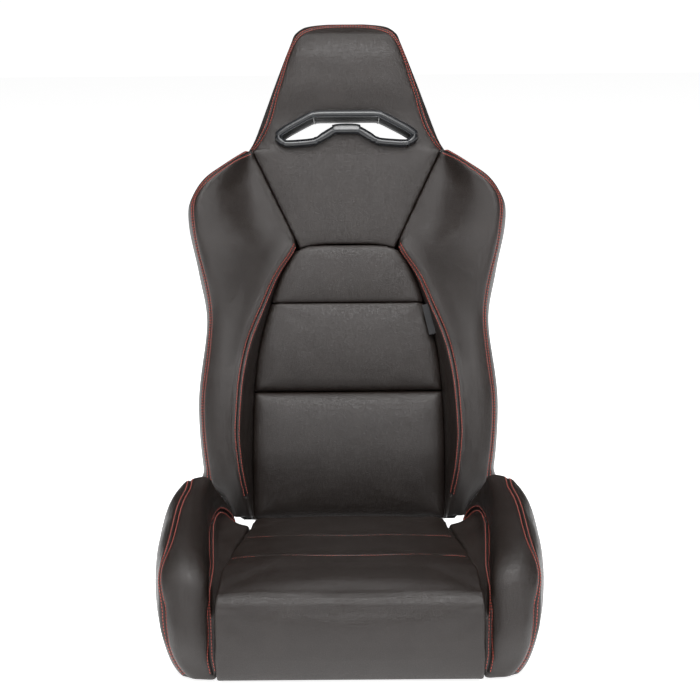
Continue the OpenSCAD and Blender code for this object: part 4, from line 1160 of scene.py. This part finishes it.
@dataclass(frozen=True)
class LeaningBack:
    """Frame of the leaning back: across it, up it and out towards the sitter.

    Its measures are in millimetres from the hinge.
    """

    hinge_y: float = 225.0
    hinge_z: float = 100.0
    recline: float = 17.0

    @property
    def forward(self) -> Vector:
        """Direction out of the back, towards the sitter."""
        lean = math.radians(self.recline)
        return Vector((0.0, -math.cos(lean), math.sin(lean)))

    @property
    def upward(self) -> Vector:
        """Direction up the back."""
        lean = math.radians(self.recline)
        return Vector((0.0, math.sin(lean), math.cos(lean)))

    def place(self, across: float, up: float, out: float) -> Vector:
        """A place on the back, in metres in the shared frame."""
        hinge = Vector((0.0, self.hinge_y, self.hinge_z))
        return (hinge + Vector((across, 0, 0)) + self.upward * up + self.forward * out) * MM

    def out_of(self, points: np.ndarray) -> np.ndarray:
        """How far points stand out of the back, in millimetres."""
        hinge = np.array((0.0, self.hinge_y, self.hinge_z))
        return (points * 1000 - hinge) @ np.array(self.forward)

    def up_of(self, points: np.ndarray) -> np.ndarray:
        """How far up the back points stand, in millimetres."""
        hinge = np.array((0.0, self.hinge_y, self.hinge_z))
        return (points * 1000 - hinge) @ np.array(self.upward)

    def turned(self, shifts: np.ndarray) -> np.ndarray:
        """Shifts across and up the back, turned into the shared frame."""
        return shifts[:, :1] * np.array((1.0, 0.0, 0.0)) + shifts[:, 1:] * np.array(self.upward)

    def line_on(self, tree: BVHTree, points: Sequence[Span]) -> list[Vector]:
        """A smooth line drawn on the face of the back.

        Args:
            tree: the face.
            points: places across and up.

        Returns:
            The line, in metres.
        """
        out = []
        for p in smooth_line(points):
            hit = tree.ray_cast(self.place(p[0], p[1], 300.0), -self.forward)
            if hit[0] is not None:
                out.append(hit[0])
        return out


BACK = LeaningBack()


@dataclass
class PaddedPiece:
    """A foam piece under leather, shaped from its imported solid.

    One that stands for two nodes is the left piece of a mirrored pair. The solid is rounded off but
    for edges over sharp degrees, remeshed in cells of voxel millimetres, evened out in passes,
    reshaped, evened out again in last_passes, and swollen by up to cap millimetres.
    """

    nodes: tuple[str, ...]
    body: Body = Body.BACKREST
    voxel: float = 4.0
    sharp: float = 50.0
    passes: int = 3
    last_passes: int = 1
    cap: float = 4.0
    pressure: float = 4.0
    fill: float = 0.85
    thread_thick: float = 0.45

    def shape(self, frame: Nodes) -> bpy.types.Object:
        """Builds the swollen form.

        Args:
            frame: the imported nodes.

        Returns:
            The piece before it is sewn.
        """
        obj = copy_of(frame, self.nodes[0] + "_cover", self.nodes[0])
        round_off(obj, self.sharp)
        form = surface_of(obj)
        apply_modifier(obj, "REMESH", mode="VOXEL", voxel_size=self.voxel * MM, adaptivity=0.0)
        relax(obj, self.passes)
        hug(obj, form, 0.95)
        set_corners(obj, self.reshape(corners(obj) * 1000) * MM)
        relax(obj, self.last_passes)
        swell(obj, self.held(corners(obj), corner_normals(obj)), self.cap * MM, self.pressure)
        apply_modifier(obj, "SUBSURF", levels=1, render_levels=1)
        return obj

    def reshape(self, points: np.ndarray) -> np.ndarray:
        """Where the stretched cover leaves the moulded form.

        Args:
            points: vertices in millimetres.

        Returns:
            Their new places.
        """
        return points

    def held(self, points: np.ndarray, normals: np.ndarray) -> np.ndarray:
        """Holds the sides and rear of a piece of the back and frees its face.

        Args:
            points: vertices in metres; not used.
            normals: their normals.

        Returns:
            The share by which each vertex is held while the cover swells.
        """
        return 1.0 - step(normals @ np.array(BACK.forward), 0.25, 0.8)

    def finish(self, obj: bpy.types.Object, node: str) -> None:
        """Dresses the sewn piece and gives it its place in the frame.

        Args:
            obj: the piece.
            node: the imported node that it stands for.
        """
        shade(obj, LEATHER)
        settle(obj, self.body, Slot.UPHOLSTERY, node)
        log.info("%s: %d vertices", obj.name, len(obj.data.vertices))

    def stuff(self, obj: bpy.types.Object) -> None:
        """Works the swollen piece further, which a plain one doesn't need."""

    def seams(self, tree: BVHTree) -> list[Seam]:
        """The seams of the piece, where a plain one has none, drawn on its face."""
        return []

    def build(self, frame: Nodes) -> None:
        """Builds the piece, or the pair, with its thread.

        Args:
            frame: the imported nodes.
        """
        obj = self.shape(frame)
        self.stuff(obj)
        laid = sew(obj, self.seams(surface_of(obj)))
        twins = [mirrored_copy(obj, node + "_cover") for node in self.nodes[1:]]
        for piece, node in zip([obj, *twins], self.nodes):
            self.finish(piece, node)
        if not laid:
            return
        ending = "_cover_thread" if twins else "_thread"
        maker = Stitching(thick=self.thread_thick)
        thread = maker.run(self.nodes[0] + ending, obj, laid, self.body)
        for node in self.nodes[1:]:
            settle(mirrored_copy(thread, node + ending), self.body, Slot.UPHOLSTERY)


@dataclass(frozen=True)
class SlotLine:
    """Middle line of the belt slot's rim, as moulded in flats and as drawn with full curves.

    Each side has share points, and corners are eased over ease millimetres. The sleeve climbs by a
    share of its depth behind face_out.
    """

    moulded: Knots = (
        (56, 664), (-56, 664), (-110, 629), (-100, 614), (-46, 621), (-26, 642), (26, 642),
        (46, 621), (100, 614), (110, 629),
    )
    drawn: Knots = (
        (54, 665), (-54, 665), (-117, 631), (-103, 616), (-48, 620), (-22, 644), (22, 644),
        (48, 620), (103, 616), (117, 631),
    )
    share: int = 40
    ease: float = 7.0
    climb: float = 0.14
    face_out: float = 45.0

    def level(self, points: np.ndarray) -> np.ndarray:
        """How far up the back places in metres stand, brought down the sloping sleeve."""
        return BACK.up_of(points) + self.climb * (BACK.out_of(points) - self.face_out)

    def shifts(self, points: np.ndarray) -> tuple[np.ndarray, np.ndarray]:
        """How far the drawn line stands from the moulded one at places in metres.

        Args:
            points: the places.

        Returns:
            The shift across and up and the distance to the line, in millimetres.
        """
        lines = []
        for knots in (self.moulded, self.drawn):
            ring = np.array(knots + knots[:1], float)
            sides = [np.linspace(a, b, self.share, endpoint=False) for a, b in zip(ring, ring[1:])]
            lines.append(np.concatenate(sides))
        flat, full = lines
        eased = np.empty_like(full)
        for i, place in enumerate(full):
            near = full[np.arange(i - 2 * self.share, i + 2 * self.share) % len(flat)]
            weight = np.exp(-(((near - place) ** 2).sum(1)) / (2 * self.ease**2))
            gaps = np.linalg.norm(np.roll(near, -1, 0) - near, axis=1)
            weight *= np.append(gaps[:-1], gaps[-2])
            eased[i] = (near * weight[:, None]).sum(0) / weight.sum()
        near = finder([(u, v, 0) for u, v in flat])
        found = [near.find((u * 1000, v, 0)) for u, v in zip(points[:, 0], self.level(points))]
        index = np.array([f[1] for f in found])
        return (eased - flat)[index], np.array([f[2] for f in found])


SLOT_LINE = SlotLine()


@dataclass
class HeadPad(PaddedPiece):
    """Head and yoke, one foam with a belt slot, sewn round its outline."""

    last_passes: int = 4
    outline: Knots = (
        (0, 818), (30, 817), (56, 812), (74, 802), (86, 786), (95, 764), (102, 742), (108, 720),
        (115, 699), (122, 674), (130, 649), (138, 634), (147, 619), (156, 609),
    )
    slot_half: float = 125.0
    slot_low: float = 606.0
    slot_high: float = 686.0
    slot_margin: float = 12.0
    brow: float = 4.0
    brow_up: tuple[float, ...] = (722, 790, 798, 816)
    brow_out: Span = (25, 45)
    rim_reach: Span = (9, 24)
    corner_across: Span = (78, 96)
    corner_up: tuple[float, ...] = (575, 592, 625, 645)
    corner_passes: int = 16

    def stuff(self, obj: bpy.types.Object) -> None:
        """Evens out the face beside the yoke's corners, where the outline turns.

        Args:
            obj: the piece.
        """
        points = corners(obj)
        across = np.abs(points[:, 0]) * 1000
        weight = step(across, *self.corner_across) * band(BACK.up_of(points), *self.corner_up)
        weight *= step(corner_normals(obj) @ np.array(BACK.forward), 0.6, 0.85)
        for _ in range(self.corner_passes):
            set_corners(obj, points + weight[:, None] * (neighbour_means(obj, points) - points))
            points = corners(obj)

    def reshape(self, points: np.ndarray) -> np.ndarray:
        """Draws the belt slot's edge along with its rim and fills the brow above it.

        Args:
            points: vertices in millimetres.

        Returns:
            Their new places.
        """
        shift, away = SLOT_LINE.shifts(points * MM)
        near = 1 - step(away, *self.rim_reach)
        up, out = BACK.up_of(points * MM), BACK.out_of(points * MM)
        fuller = self.brow * band(up, *self.brow_up) * step(out, *self.brow_out)
        moved = points + BACK.turned(shift) * near[:, None]
        return moved + fuller[:, None] * np.array(BACK.forward)

    def held(self, points: np.ndarray, normals: np.ndarray) -> np.ndarray:
        """Holds the rim of the belt slot as well, see PaddedPiece.

        Args:
            points: vertices in metres.
            normals: their normals.

        Returns:
            The share by which each vertex is held.
        """
        low, high, edge = self.slot_low, self.slot_high, self.slot_half
        near = band(BACK.up_of(points), low - self.slot_margin, low, high, high + self.slot_margin)
        near *= 1 - step(np.abs(points[:, 0]) * 1000, edge, edge + self.slot_margin)
        return np.maximum(super().held(points, normals), near)

    def seams(self, tree: BVHTree) -> list[Seam]:
        """The outline seam, mirrored from its left half."""
        full = [(-u, v) for u, v in reversed(self.outline[1:])] + list(self.outline)
        return [Seam(BACK.line_on(tree, full), 1.4)]


@dataclass
class BackBolsters(PaddedPiece):
    """Side bolster and shoulder wing of each side, with a crest seam and an outline seam."""

    cap: float = 3.0
    outline: Knots = (
        (158, 603), (176, 590), (202, 568), (228, 544), (242.5, 524), (247.5, 502), (246, 477),
        (243, 453), (238, 428), (231.5, 404), (225.5, 379), (221.5, 355), (219.5, 331), (220, 306),
        (222, 282), (224.3, 258), (227.4, 234), (230.5, 210), (232, 186), (231.5, 162), (230, 138),
        (227.5, 114), (224.5, 90), (221.5, 64),
    )
    crest: Knots = (
        (84, 449), (91, 435), (99.5, 422), (112, 402), (122, 382), (133, 354), (147, 321),
        (158, 291), (165.5, 260), (171, 225), (173.5, 195), (176, 144), (174, 112), (169, 73),
        (162, 40),
    )
    foot: float = 13.0
    foot_up: Span = (56, 88)
    waist: float = 1.0
    waist_up: Span = (245, 320)
    flank_across: Span = (185, 212)

    def reshape(self, points: np.ndarray) -> np.ndarray:
        """Fills the waist and the foot of the bolster out to the side.

        Args:
            points: vertices in millimetres.

        Returns:
            Their new places.
        """
        up = BACK.up_of(points * MM)
        fuller = self.foot * (1 - step(up, *self.foot_up))
        fuller += self.waist * (1 - step(up, *self.waist_up))
        moved = points.copy()
        moved[:, 0] += fuller * step(points[:, 0], *self.flank_across)
        return moved

    def seams(self, tree: BVHTree) -> list[Seam]:
        """The outline seam and the crest seam."""
        outline, crest = BACK.line_on(tree, self.outline), BACK.line_on(tree, self.crest)
        return [Seam(outline, 1.6), Seam(crest, 2.2)]


@dataclass
class BackPad(PaddedPiece):
    """A plain pad between the bolsters, with rolled edges along the channels."""

    voxel: float = 3.5
    passes: int = 2
    crown: float = 0.0
    tuck: float = 0.0
    spread: float = 1.8

    def reshape(self, points: np.ndarray) -> np.ndarray:
        """Crowns the face, tucks in its lower end and fills the pad out to its channels.

        Args:
            points: vertices in millimetres.

        Returns:
            Their new places.
        """
        up, out = BACK.up_of(points * MM), BACK.out_of(points * MM)
        share_up = 2 * (up - up.min()) / (up.max() - up.min()) - 1
        share_across = points[:, 0] / np.abs(points[:, 0]).max()
        lift = self.crown * (1 - share_up**2) * (1 - share_across**6)
        lift -= self.tuck * step(-share_up, -0.1, 1.0)
        lift *= step(out, 0.5 * out.max(), 0.8 * out.max())
        moved = points + lift[:, None] * np.array(BACK.forward)
        moved[:, 0] += self.spread * share_across
        return moved


@dataclass
class SeatCushion(PaddedPiece):
    """Seat cushion that rolls over its front into an apron, with two sewn cross lines.

    The moulded fields describe the foam as packed, the drawn ones the cover stretched over it.
    """

    body: Body = Body.BASE
    cap: float = 5.0
    thread_thick: float = 0.3
    cross_lines: tuple[Knots, ...] = (
        ((-156, 44), (-80, 4), (0, -14), (80, 4), (156, 44)),
        ((-172, -92), (-80, -132), (0, -140), (80, -132), (172, -92)),
    )
    moulded_top: Knots = ((-268, 146.5), (-242, 146.5), (-130, 139.8), (172, 122))
    drawn_top: Knots = (
        (-268, 133), (-246, 133), (-225, 138), (-200, 142), (-170, 145.5), (-130, 147.8)
    )
    half_width: Knots = ((-268, 187), (-120, 179.6), (43, 165), (172, 150))
    moulded_roll: float = 26.0
    drawn_roll: float = 22.0
    front: float = -268.0
    crown: float = 9.0
    moulded_drop: float = 4.0
    drawn_drop: float = 2.5
    still_below: float = 60.0
    near_front: Span = (-190, -120)
    corner_lift: float = 5.0
    corner_x: Span = (105, 140)
    corner_y: Span = (110, 165)
    corner_z: Span = (100, 120)
    crease: float = 1.0
    crease_z: float = 106.0
    crease_width: float = 6.0
    crease_ahead: Span = (255, 266)
    apron_spread: float = 0.022
    apron_ahead: Span = (235, 262)
    apron_down: Span = (-70, -20)

    def top_of(self, y: np.ndarray, profile: Knots, roll: float) -> np.ndarray:
        """Height of the top over a place, falling off over the rolled front edge."""
        ahead = np.clip((self.front + roll - y) / roll, 0, 1)
        return np.interp(y, *np.array(profile).T) - roll * (1 - np.sqrt(1 - ahead**2))

    def reshape(self, points: np.ndarray) -> np.ndarray:
        """Draws the front edge into a low roll, fills the rear corners and spreads the apron.

        Args:
            points: vertices in millimetres.

        Returns:
            Their new places.
        """
        x, y, z = points.T
        across = np.clip(x / np.interp(y, *np.array(self.half_width).T), -1, 1)
        along = np.maximum(y, self.front + self.moulded_roll) / self.front
        crown = self.crown * (1 - across**4) * (1 - 0.5 * along**2)
        top = self.top_of(y, self.moulded_top, self.moulded_roll) + crown
        top -= self.moulded_drop * across**8
        drawn = self.top_of(y, self.drawn_top, self.drawn_roll) - self.drawn_drop * across**8
        share = np.clip((z - self.still_below) / (top - self.still_below), 0, 1.1)
        share *= 1 - step(y, *self.near_front)
        moved = points.copy()
        moved[:, 2] += np.where(z > self.still_below, share * (drawn - top), 0)
        rear_corner = step(np.abs(x), *self.corner_x) * step(y, *self.corner_y)
        moved[:, 2] += self.corner_lift * rear_corner * step(z, *self.corner_z)
        beside = (moved[:, 2] - self.crease_z) / self.crease_width
        moved[:, 1] += self.crease * np.exp(-(beside**2)) * step(-y, *self.crease_ahead)
        apron = step(-y, *self.apron_ahead) * step(-z, *self.apron_down)
        moved[:, 0] *= 1 + self.apron_spread * apron
        return moved

    def held(self, points: np.ndarray, normals: np.ndarray) -> np.ndarray:
        """Frees the top and the apron and holds the rest, see PaddedPiece."""
        return 1.0 - step(np.maximum(normals[:, 2], -normals[:, 1]), 0.3, 0.85)

    def seams(self, tree: BVHTree) -> list[Seam]:
        """The cross lines.

        Args:
            tree: the face that they are dropped onto.

        Returns:
            One seam for each.
        """
        seams = []
        for line in self.cross_lines:
            above = [Vector((p[0] * MM, p[1] * MM, 0.5)) for p in smooth_line(line)]
            hits = [tree.ray_cast(p, Vector((0, 0, -1)))[0] for p in above]
            drawn = [hit for hit in hits if hit is not None]
            seams.append(Seam(drawn, 1.2, 2.2, Rows.SINGLE))
        return seams


@dataclass
class ThighBolsters(PaddedPiece):
    """Arched bolster of each side, a band between two seams with a gusset outside it."""

    body: Body = Body.BASE
    cap: float = 3.0
    outer: Knots = (
        (239, 76, 203), (239, 50, 204.5), (241, 20, 202), (247, -30, 198.5), (250, -125, 189),
        (252, -180, 171.5), (255, -215, 144.5), (256.5, -237.5, 112.5), (256, -245, 76.3),
        (243.5, -245, 30.3), (229, -244.5, 9.7),
    )
    inner: Knots = (
        (168, 128, 118), (178, 127, 130), (190, 116, 148), (200, 97, 157), (208, 70, 153),
        (211, 45, 146), (209, -3, 137), (205, -60, 130), (200, -115, 125), (198, -170, 124),
        (197, -219, 122), (197.3, -238, 106), (197.3, -244, 84), (196, -251.6, 40), (191, -253, 14),
    )
    end_lift: float = 6.5
    end_x: Span = (180, 205)
    end_y: Span = (70, 130)
    end_z: Span = (95, 115)
    held_foot: Span = (8, 30)
    held_flank: Span = (192, 206)
    puff: float = 11.0
    puff_facing: Triple = (0.25, -0.55, 0.8)
    puff_reach: Span = (70, 95)
    puff_foot: Span = (12, 70)
    puff_passes: int = 16

    def reshape(self, points: np.ndarray) -> np.ndarray:
        """Raises the rear end of the inner flank.

        Args:
            points: vertices in millimetres.

        Returns:
            Their new places.
        """
        x, y, z = points.T
        moved = points.copy()
        rear_end = step(y, *self.end_y) * step(z, *self.end_z) * (1 - step(x, *self.end_x))
        moved[:, 2] += self.end_lift * rear_end
        return moved

    def held(self, points: np.ndarray, normals: np.ndarray) -> np.ndarray:
        """Holds the lower edge and the flank beside the cushion.

        Args:
            points: vertices in metres.
            normals: their normals; not used.

        Returns:
            The share by which each vertex is held.
        """
        low = 1 - step(points[:, 2] * 1000, *self.held_foot)
        tucked = 1 - step(points[:, 0] * 1000, *self.held_flank)
        return np.maximum(low, tucked)

    def stuff(self, obj: bpy.types.Object) -> None:
        """Puffs up the band between the two seams.

        Args:
            obj: the piece.
        """
        points, normals = corners(obj), corner_normals(obj)
        near_outer, near_inner = finder(smooth_line(self.outer)), finder(smooth_line(self.inner))
        to_outer = np.array([near_outer.find(p)[2] for p in points * 1000])
        to_inner = np.array([near_inner.find(p)[2] for p in points * 1000])
        reach = to_outer + to_inner
        bow = 4 * to_outer * to_inner / reach**2 * (1 - step(reach, *self.puff_reach))
        between = step(normals @ np.array(self.puff_facing), 0.15, 0.5)
        between *= step(points[:, 2] * 1000, *self.puff_foot)
        rise = (self.puff * bow * between)[:, None]
        for _ in range(self.puff_passes):
            rise = neighbour_means(obj, rise)
        set_corners(obj, points + normals * rise * MM)

    def seams(self, tree: BVHTree) -> list[Seam]:
        """The outer and the inner seam, which are drawn in space."""
        outer, inner = ([p * MM for p in smooth_line(line)] for line in (self.outer, self.inner))
        return [Seam(outer, 1.5), Seam(inner, 2.2)]


# ---------------------------------------------------------------- hard pieces


@dataclass
class SlotBezels:
    """Glossy rims of the belt slot, rounded over."""

    front: str = "slot_bezel_front"
    rear: str = "slot_bezel_rear"
    middle_up: float = 653.0
    middle_half: float = 42.0
    swelling: float = 1.3
    hump_half: float = 40.0
    hump_low: float = 648.0
    hump_reach: float = 22.0
    hump_drop: float = 5.0

    def mould(self, rim: bpy.types.Object) -> None:
        """Rounds the lip out, deepens its hump and marks the sleeve behind it, which stays dull and
        gets painted shade.

        Args:
            rim: the rim, already subdivided.
        """
        points, normals = corners(rim), corner_normals(rim)
        level = SLOT_LINE.level(points)
        shift, _ = SLOT_LINE.shifts(points)
        across = points[:, 0] * 1000
        inward = normals[:, 0] * (np.clip(across, -self.middle_half, self.middle_half) - across)
        inward += (normals @ np.array(BACK.upward)) * (self.middle_up - level)
        sleeve = (inward > 0) * (1 - step(np.abs(normals @ np.array(BACK.forward)), 0.1, 0.4))
        sink = self.hump_drop * np.clip(1 - (across / self.hump_half) ** 2, 0, 1) ** 0.5
        sink *= step(self.hump_low - level, 0, 5) * (level > self.hump_low - self.hump_reach)
        moved = points + normals * (self.swelling * (1 - sleeve))[:, None] * MM
        moved -= sink[:, None] * MM * np.array(BACK.upward)
        moved += BACK.turned(shift) * MM
        set_corners(rim, moved)
        # in_sleeve: where the bezel material dulls the sleeve and paints shade into it
        mark = rim.data.attributes.new("in_sleeve", "FLOAT", "POINT")
        mark.data.foreach_set("value", sleeve)

    def build(self, frame: Nodes) -> None:
        """Builds both rims.

        Args:
            frame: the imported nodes.
        """
        for node in (self.front, self.rear):
            rim = copy_of(frame, node + "_moulding", node)
            round_off(rim, 70, 2)
            self.mould(rim)
            shade(rim, BEZEL, 50)
            settle(rim, Body.BACKREST, Slot.BEZEL, node)
            log.info("%s: %d vertices", rim.name, len(rim.data.vertices))


@dataclass
class RearShell:
    """Moulded shell behind the back."""

    node: str = "rear_shell"

    def build(self, frame: Nodes) -> None:
        """Builds the shell.

        Args:
            frame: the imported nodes.
        """
        shell = copy_of(frame, self.node + "_moulding", self.node)
        shade(shell, SHELL, 32)
        settle(shell, Body.BACKREST, Slot.SHELL, self.node)
        log.info("%s: %d vertices", shell.name, len(shell.data.vertices))


@dataclass
class BareLabel:
    """Blank ribbon label sewn into the seam beside the middle pad."""

    across: float = 131.0
    top: float = 350.0
    width: float = 11.0
    long: float = 50.0
    out: float = 53.0
    lean: float = 13.0
    thick: float = 0.7
    cuts: int = 14
    wave: float = 0.9
    waves: float = 5.0
    edge_lift: float = 1.6

    def build(self) -> None:
        """Builds the label."""
        bpy.ops.object.select_all(action="DESELECT")
        bpy.ops.mesh.primitive_plane_add(size=1)
        label = bpy.context.object
        label.name = "blank_label"
        bpy.ops.object.mode_set(mode="EDIT")
        bpy.ops.mesh.subdivide(number_cuts=self.cuts)
        bpy.ops.object.mode_set(mode="OBJECT")
        points = corners(label)
        lean = math.radians(self.lean)
        placed = []
        for x, y, _ in points:
            across = x * self.width
            up = y * self.long
            curl = self.wave * math.sin(y * self.waves) + self.edge_lift * (x + 0.5) ** 2
            placed.append(
                BACK.place(
                    self.across + across * math.cos(lean) - up * math.sin(lean),
                    self.top - self.long / 2 + up * math.cos(lean) + across * math.sin(lean),
                    self.out + curl,
                )
            )
        set_corners(label, np.array(placed))
        apply_modifier(label, "SOLIDIFY", thickness=self.thick * MM, offset=0.0)
        apply_modifier(label, "SUBSURF", levels=1, render_levels=1)
        shade(label, RIBBON)
        settle(label, Body.BACKREST, Slot.UPHOLSTERY)
        log.info("%s: %d vertices", label.name, len(label.data.vertices))


@dataclass
class HardParts:
    """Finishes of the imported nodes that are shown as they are."""

    finishes: tuple[tuple[str, Finish], ...] = (
        ("side_rail", FRAME_PAINT), ("front_cross", FRAME_PAINT), ("rear_cross", FRAME_PAINT),
        ("side_frame", FRAME_PAINT), ("back_frame", FRAME_PAINT), ("lower_back", FRAME_PAINT),
        ("upper_back", FRAME_PAINT), ("lever_grip", GRIP), ("lever_screws", ZINC),
        ("lever_", FRAME_PAINT), ("recliner_cover", COVER), ("rod_bushes", COVER),
        ("shell_spacers", COVER), ("cushion_support", FELT), ("back_support", FELT),
        ("seat_springs", SPRING), ("back_springs", SPRING), ("return_spring", SPRING),
        ("recliner_arm", BARE_STEEL), ("hinge_pin", BARE_STEEL), ("pawl", BARE_STEEL),
        ("release_rod", BARE_STEEL), ("", ZINC),
    )

    def build(self, frame: Nodes) -> None:
        """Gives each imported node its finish.

        Args:
            frame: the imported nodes.
        """
        for name, obj in frame.items():
            finish = next(f for start, f in self.finishes if name.startswith(start))
            obj.data.materials.clear()
            obj.data.materials.append(finish.material())
            log.info("%s: %s", name, finish.name)


# ---------------------------------------------------------------- studio


@dataclass
class Studio:
    """Pale floor, soft lights and the camera."""

    camera_at: Triple = (0.0, -2.90, 0.95)
    pitch: float = 10.25
    roll: float = -0.42
    lens: float = 102.4
    shift: float = 0.0029
    ambient: float = 0.05
    backdrop: float = 1.05
    sensor: float = 36.0
    lamps: tuple[tuple[str, Triple, Span, float], ...] = (
        ("key", (0, -4.73, 4.14), (5.4, 3.0), 4.0),
        ("high", (0, -2.44, 5.9), (5.0, 2.4), 12.0),
        ("top", (0, 0.2, 3.2), (2.6, 1.4), 1.6),
    )
    aim: Triple = (0.0, 0.0, 0.45)

    def floor(self) -> None:
        """Lays the floor."""
        bpy.ops.object.select_all(action="DESELECT")
        bpy.ops.mesh.primitive_plane_add(size=40, location=(0, 0, -0.0005))
        plane = bpy.context.object
        plane.name = "studio_floor"
        bpy.ops.object.mode_set(mode="EDIT")
        bpy.ops.mesh.subdivide(number_cuts=4)
        bpy.ops.object.mode_set(mode="OBJECT")
        bpy.ops.object.transform_apply(location=True, rotation=False, scale=False)
        shade(plane, FLOOR)

    def light(self, name: str, at: Triple, size: Span, bright: float) -> None:
        """Hangs a soft light.

        Args:
            name: its name.
            at: its place.
            size: width and height of its face.
            bright: brightness of its face, where a white wall has 1.
        """
        data = bpy.data.lights.new(name, "AREA")
        data.shape = "RECTANGLE"
        data.size, data.size_y = size
        data.energy = bright * math.pi * size[0] * size[1]
        lamp = add_object(name, data)
        lamp.location = at
        lamp.rotation_euler = (Vector(self.aim) - Vector(at)).to_track_quat("-Z", "Y").to_euler()

    def surroundings(self) -> None:
        """Sets the light of the room, a dim grey round the seat in front of a white background."""
        bpy.context.scene.view_settings.view_transform = "Standard"
        world = bpy.data.worlds.new("studio")
        bpy.context.scene.world = world
        world.use_nodes = True
        wire = Wiring(world.node_tree)
        sky = world.node_tree.nodes["Background"]
        wire.feed(sky, Color=(1, 1, 1, 1), Strength=self.ambient)
        seen = wire.feed(wire.node("Background"), Color=(1, 1, 1, 1), Strength=self.backdrop)
        ray = wire.node("LightPath")
        either = wire.node("MixShader")
        sources = (ray.outputs["Is Camera Ray"], sky.outputs[0], seen.outputs[0])
        for socket, source in zip(either.inputs, sources):
            wire.put(socket, source)
        wire.feed(world.node_tree.nodes["World Output"], Surface=either.outputs[0])

    def camera(self) -> None:
        """Sets up the camera."""
        data = bpy.data.cameras.new("studio_camera")
        data.lens = self.lens
        data.sensor_width = self.sensor
        data.shift_x = self.shift
        data.clip_end = 100.0
        eye = add_object("studio_camera", data)
        eye.location = self.camera_at
        raised = Matrix.Rotation(math.radians(90 - self.pitch), 4, "X")
        eye.rotation_euler = (raised @ Matrix.Rotation(math.radians(self.roll), 4, "Z")).to_euler()
        bpy.context.scene.camera = eye

    def build(self) -> None:
        """Builds the studio."""
        self.camera()
        self.floor()
        self.surroundings()
        for lamp in self.lamps:
            self.light(*lamp)
        log.info("studio: %d lights", len(self.lamps))


# ---------------------------------------------------------------- assembly


def main() -> None:
    """Builds the looks in order."""
    logging.basicConfig(level=logging.INFO, format="%(message)s")
    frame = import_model()
    nodes = frame["nodes"]
    Studio().build()
    HardParts().build(nodes)
    pieces: tuple[PaddedPiece, ...] = (
        HeadPad(("head_pad",)),
        BackBolsters(("back_bolster_left", "back_bolster_right")),
        BackPad(("back_pad_upper",), crown=3.0),
        BackPad(("back_pad_middle",), crown=4.0, tuck=1.5),
        BackPad(("back_pad_lower",), crown=8.0, tuck=12.0),
        SeatCushion(("seat_cushion",)),
        ThighBolsters(("thigh_bolster_left", "thigh_bolster_right")),
    )
    for piece in pieces:
        piece.build(nodes)
    SlotBezels().build(nodes)
    RearShell().build(nodes)
    BareLabel().build()


if __name__ == "__main__":
    main()
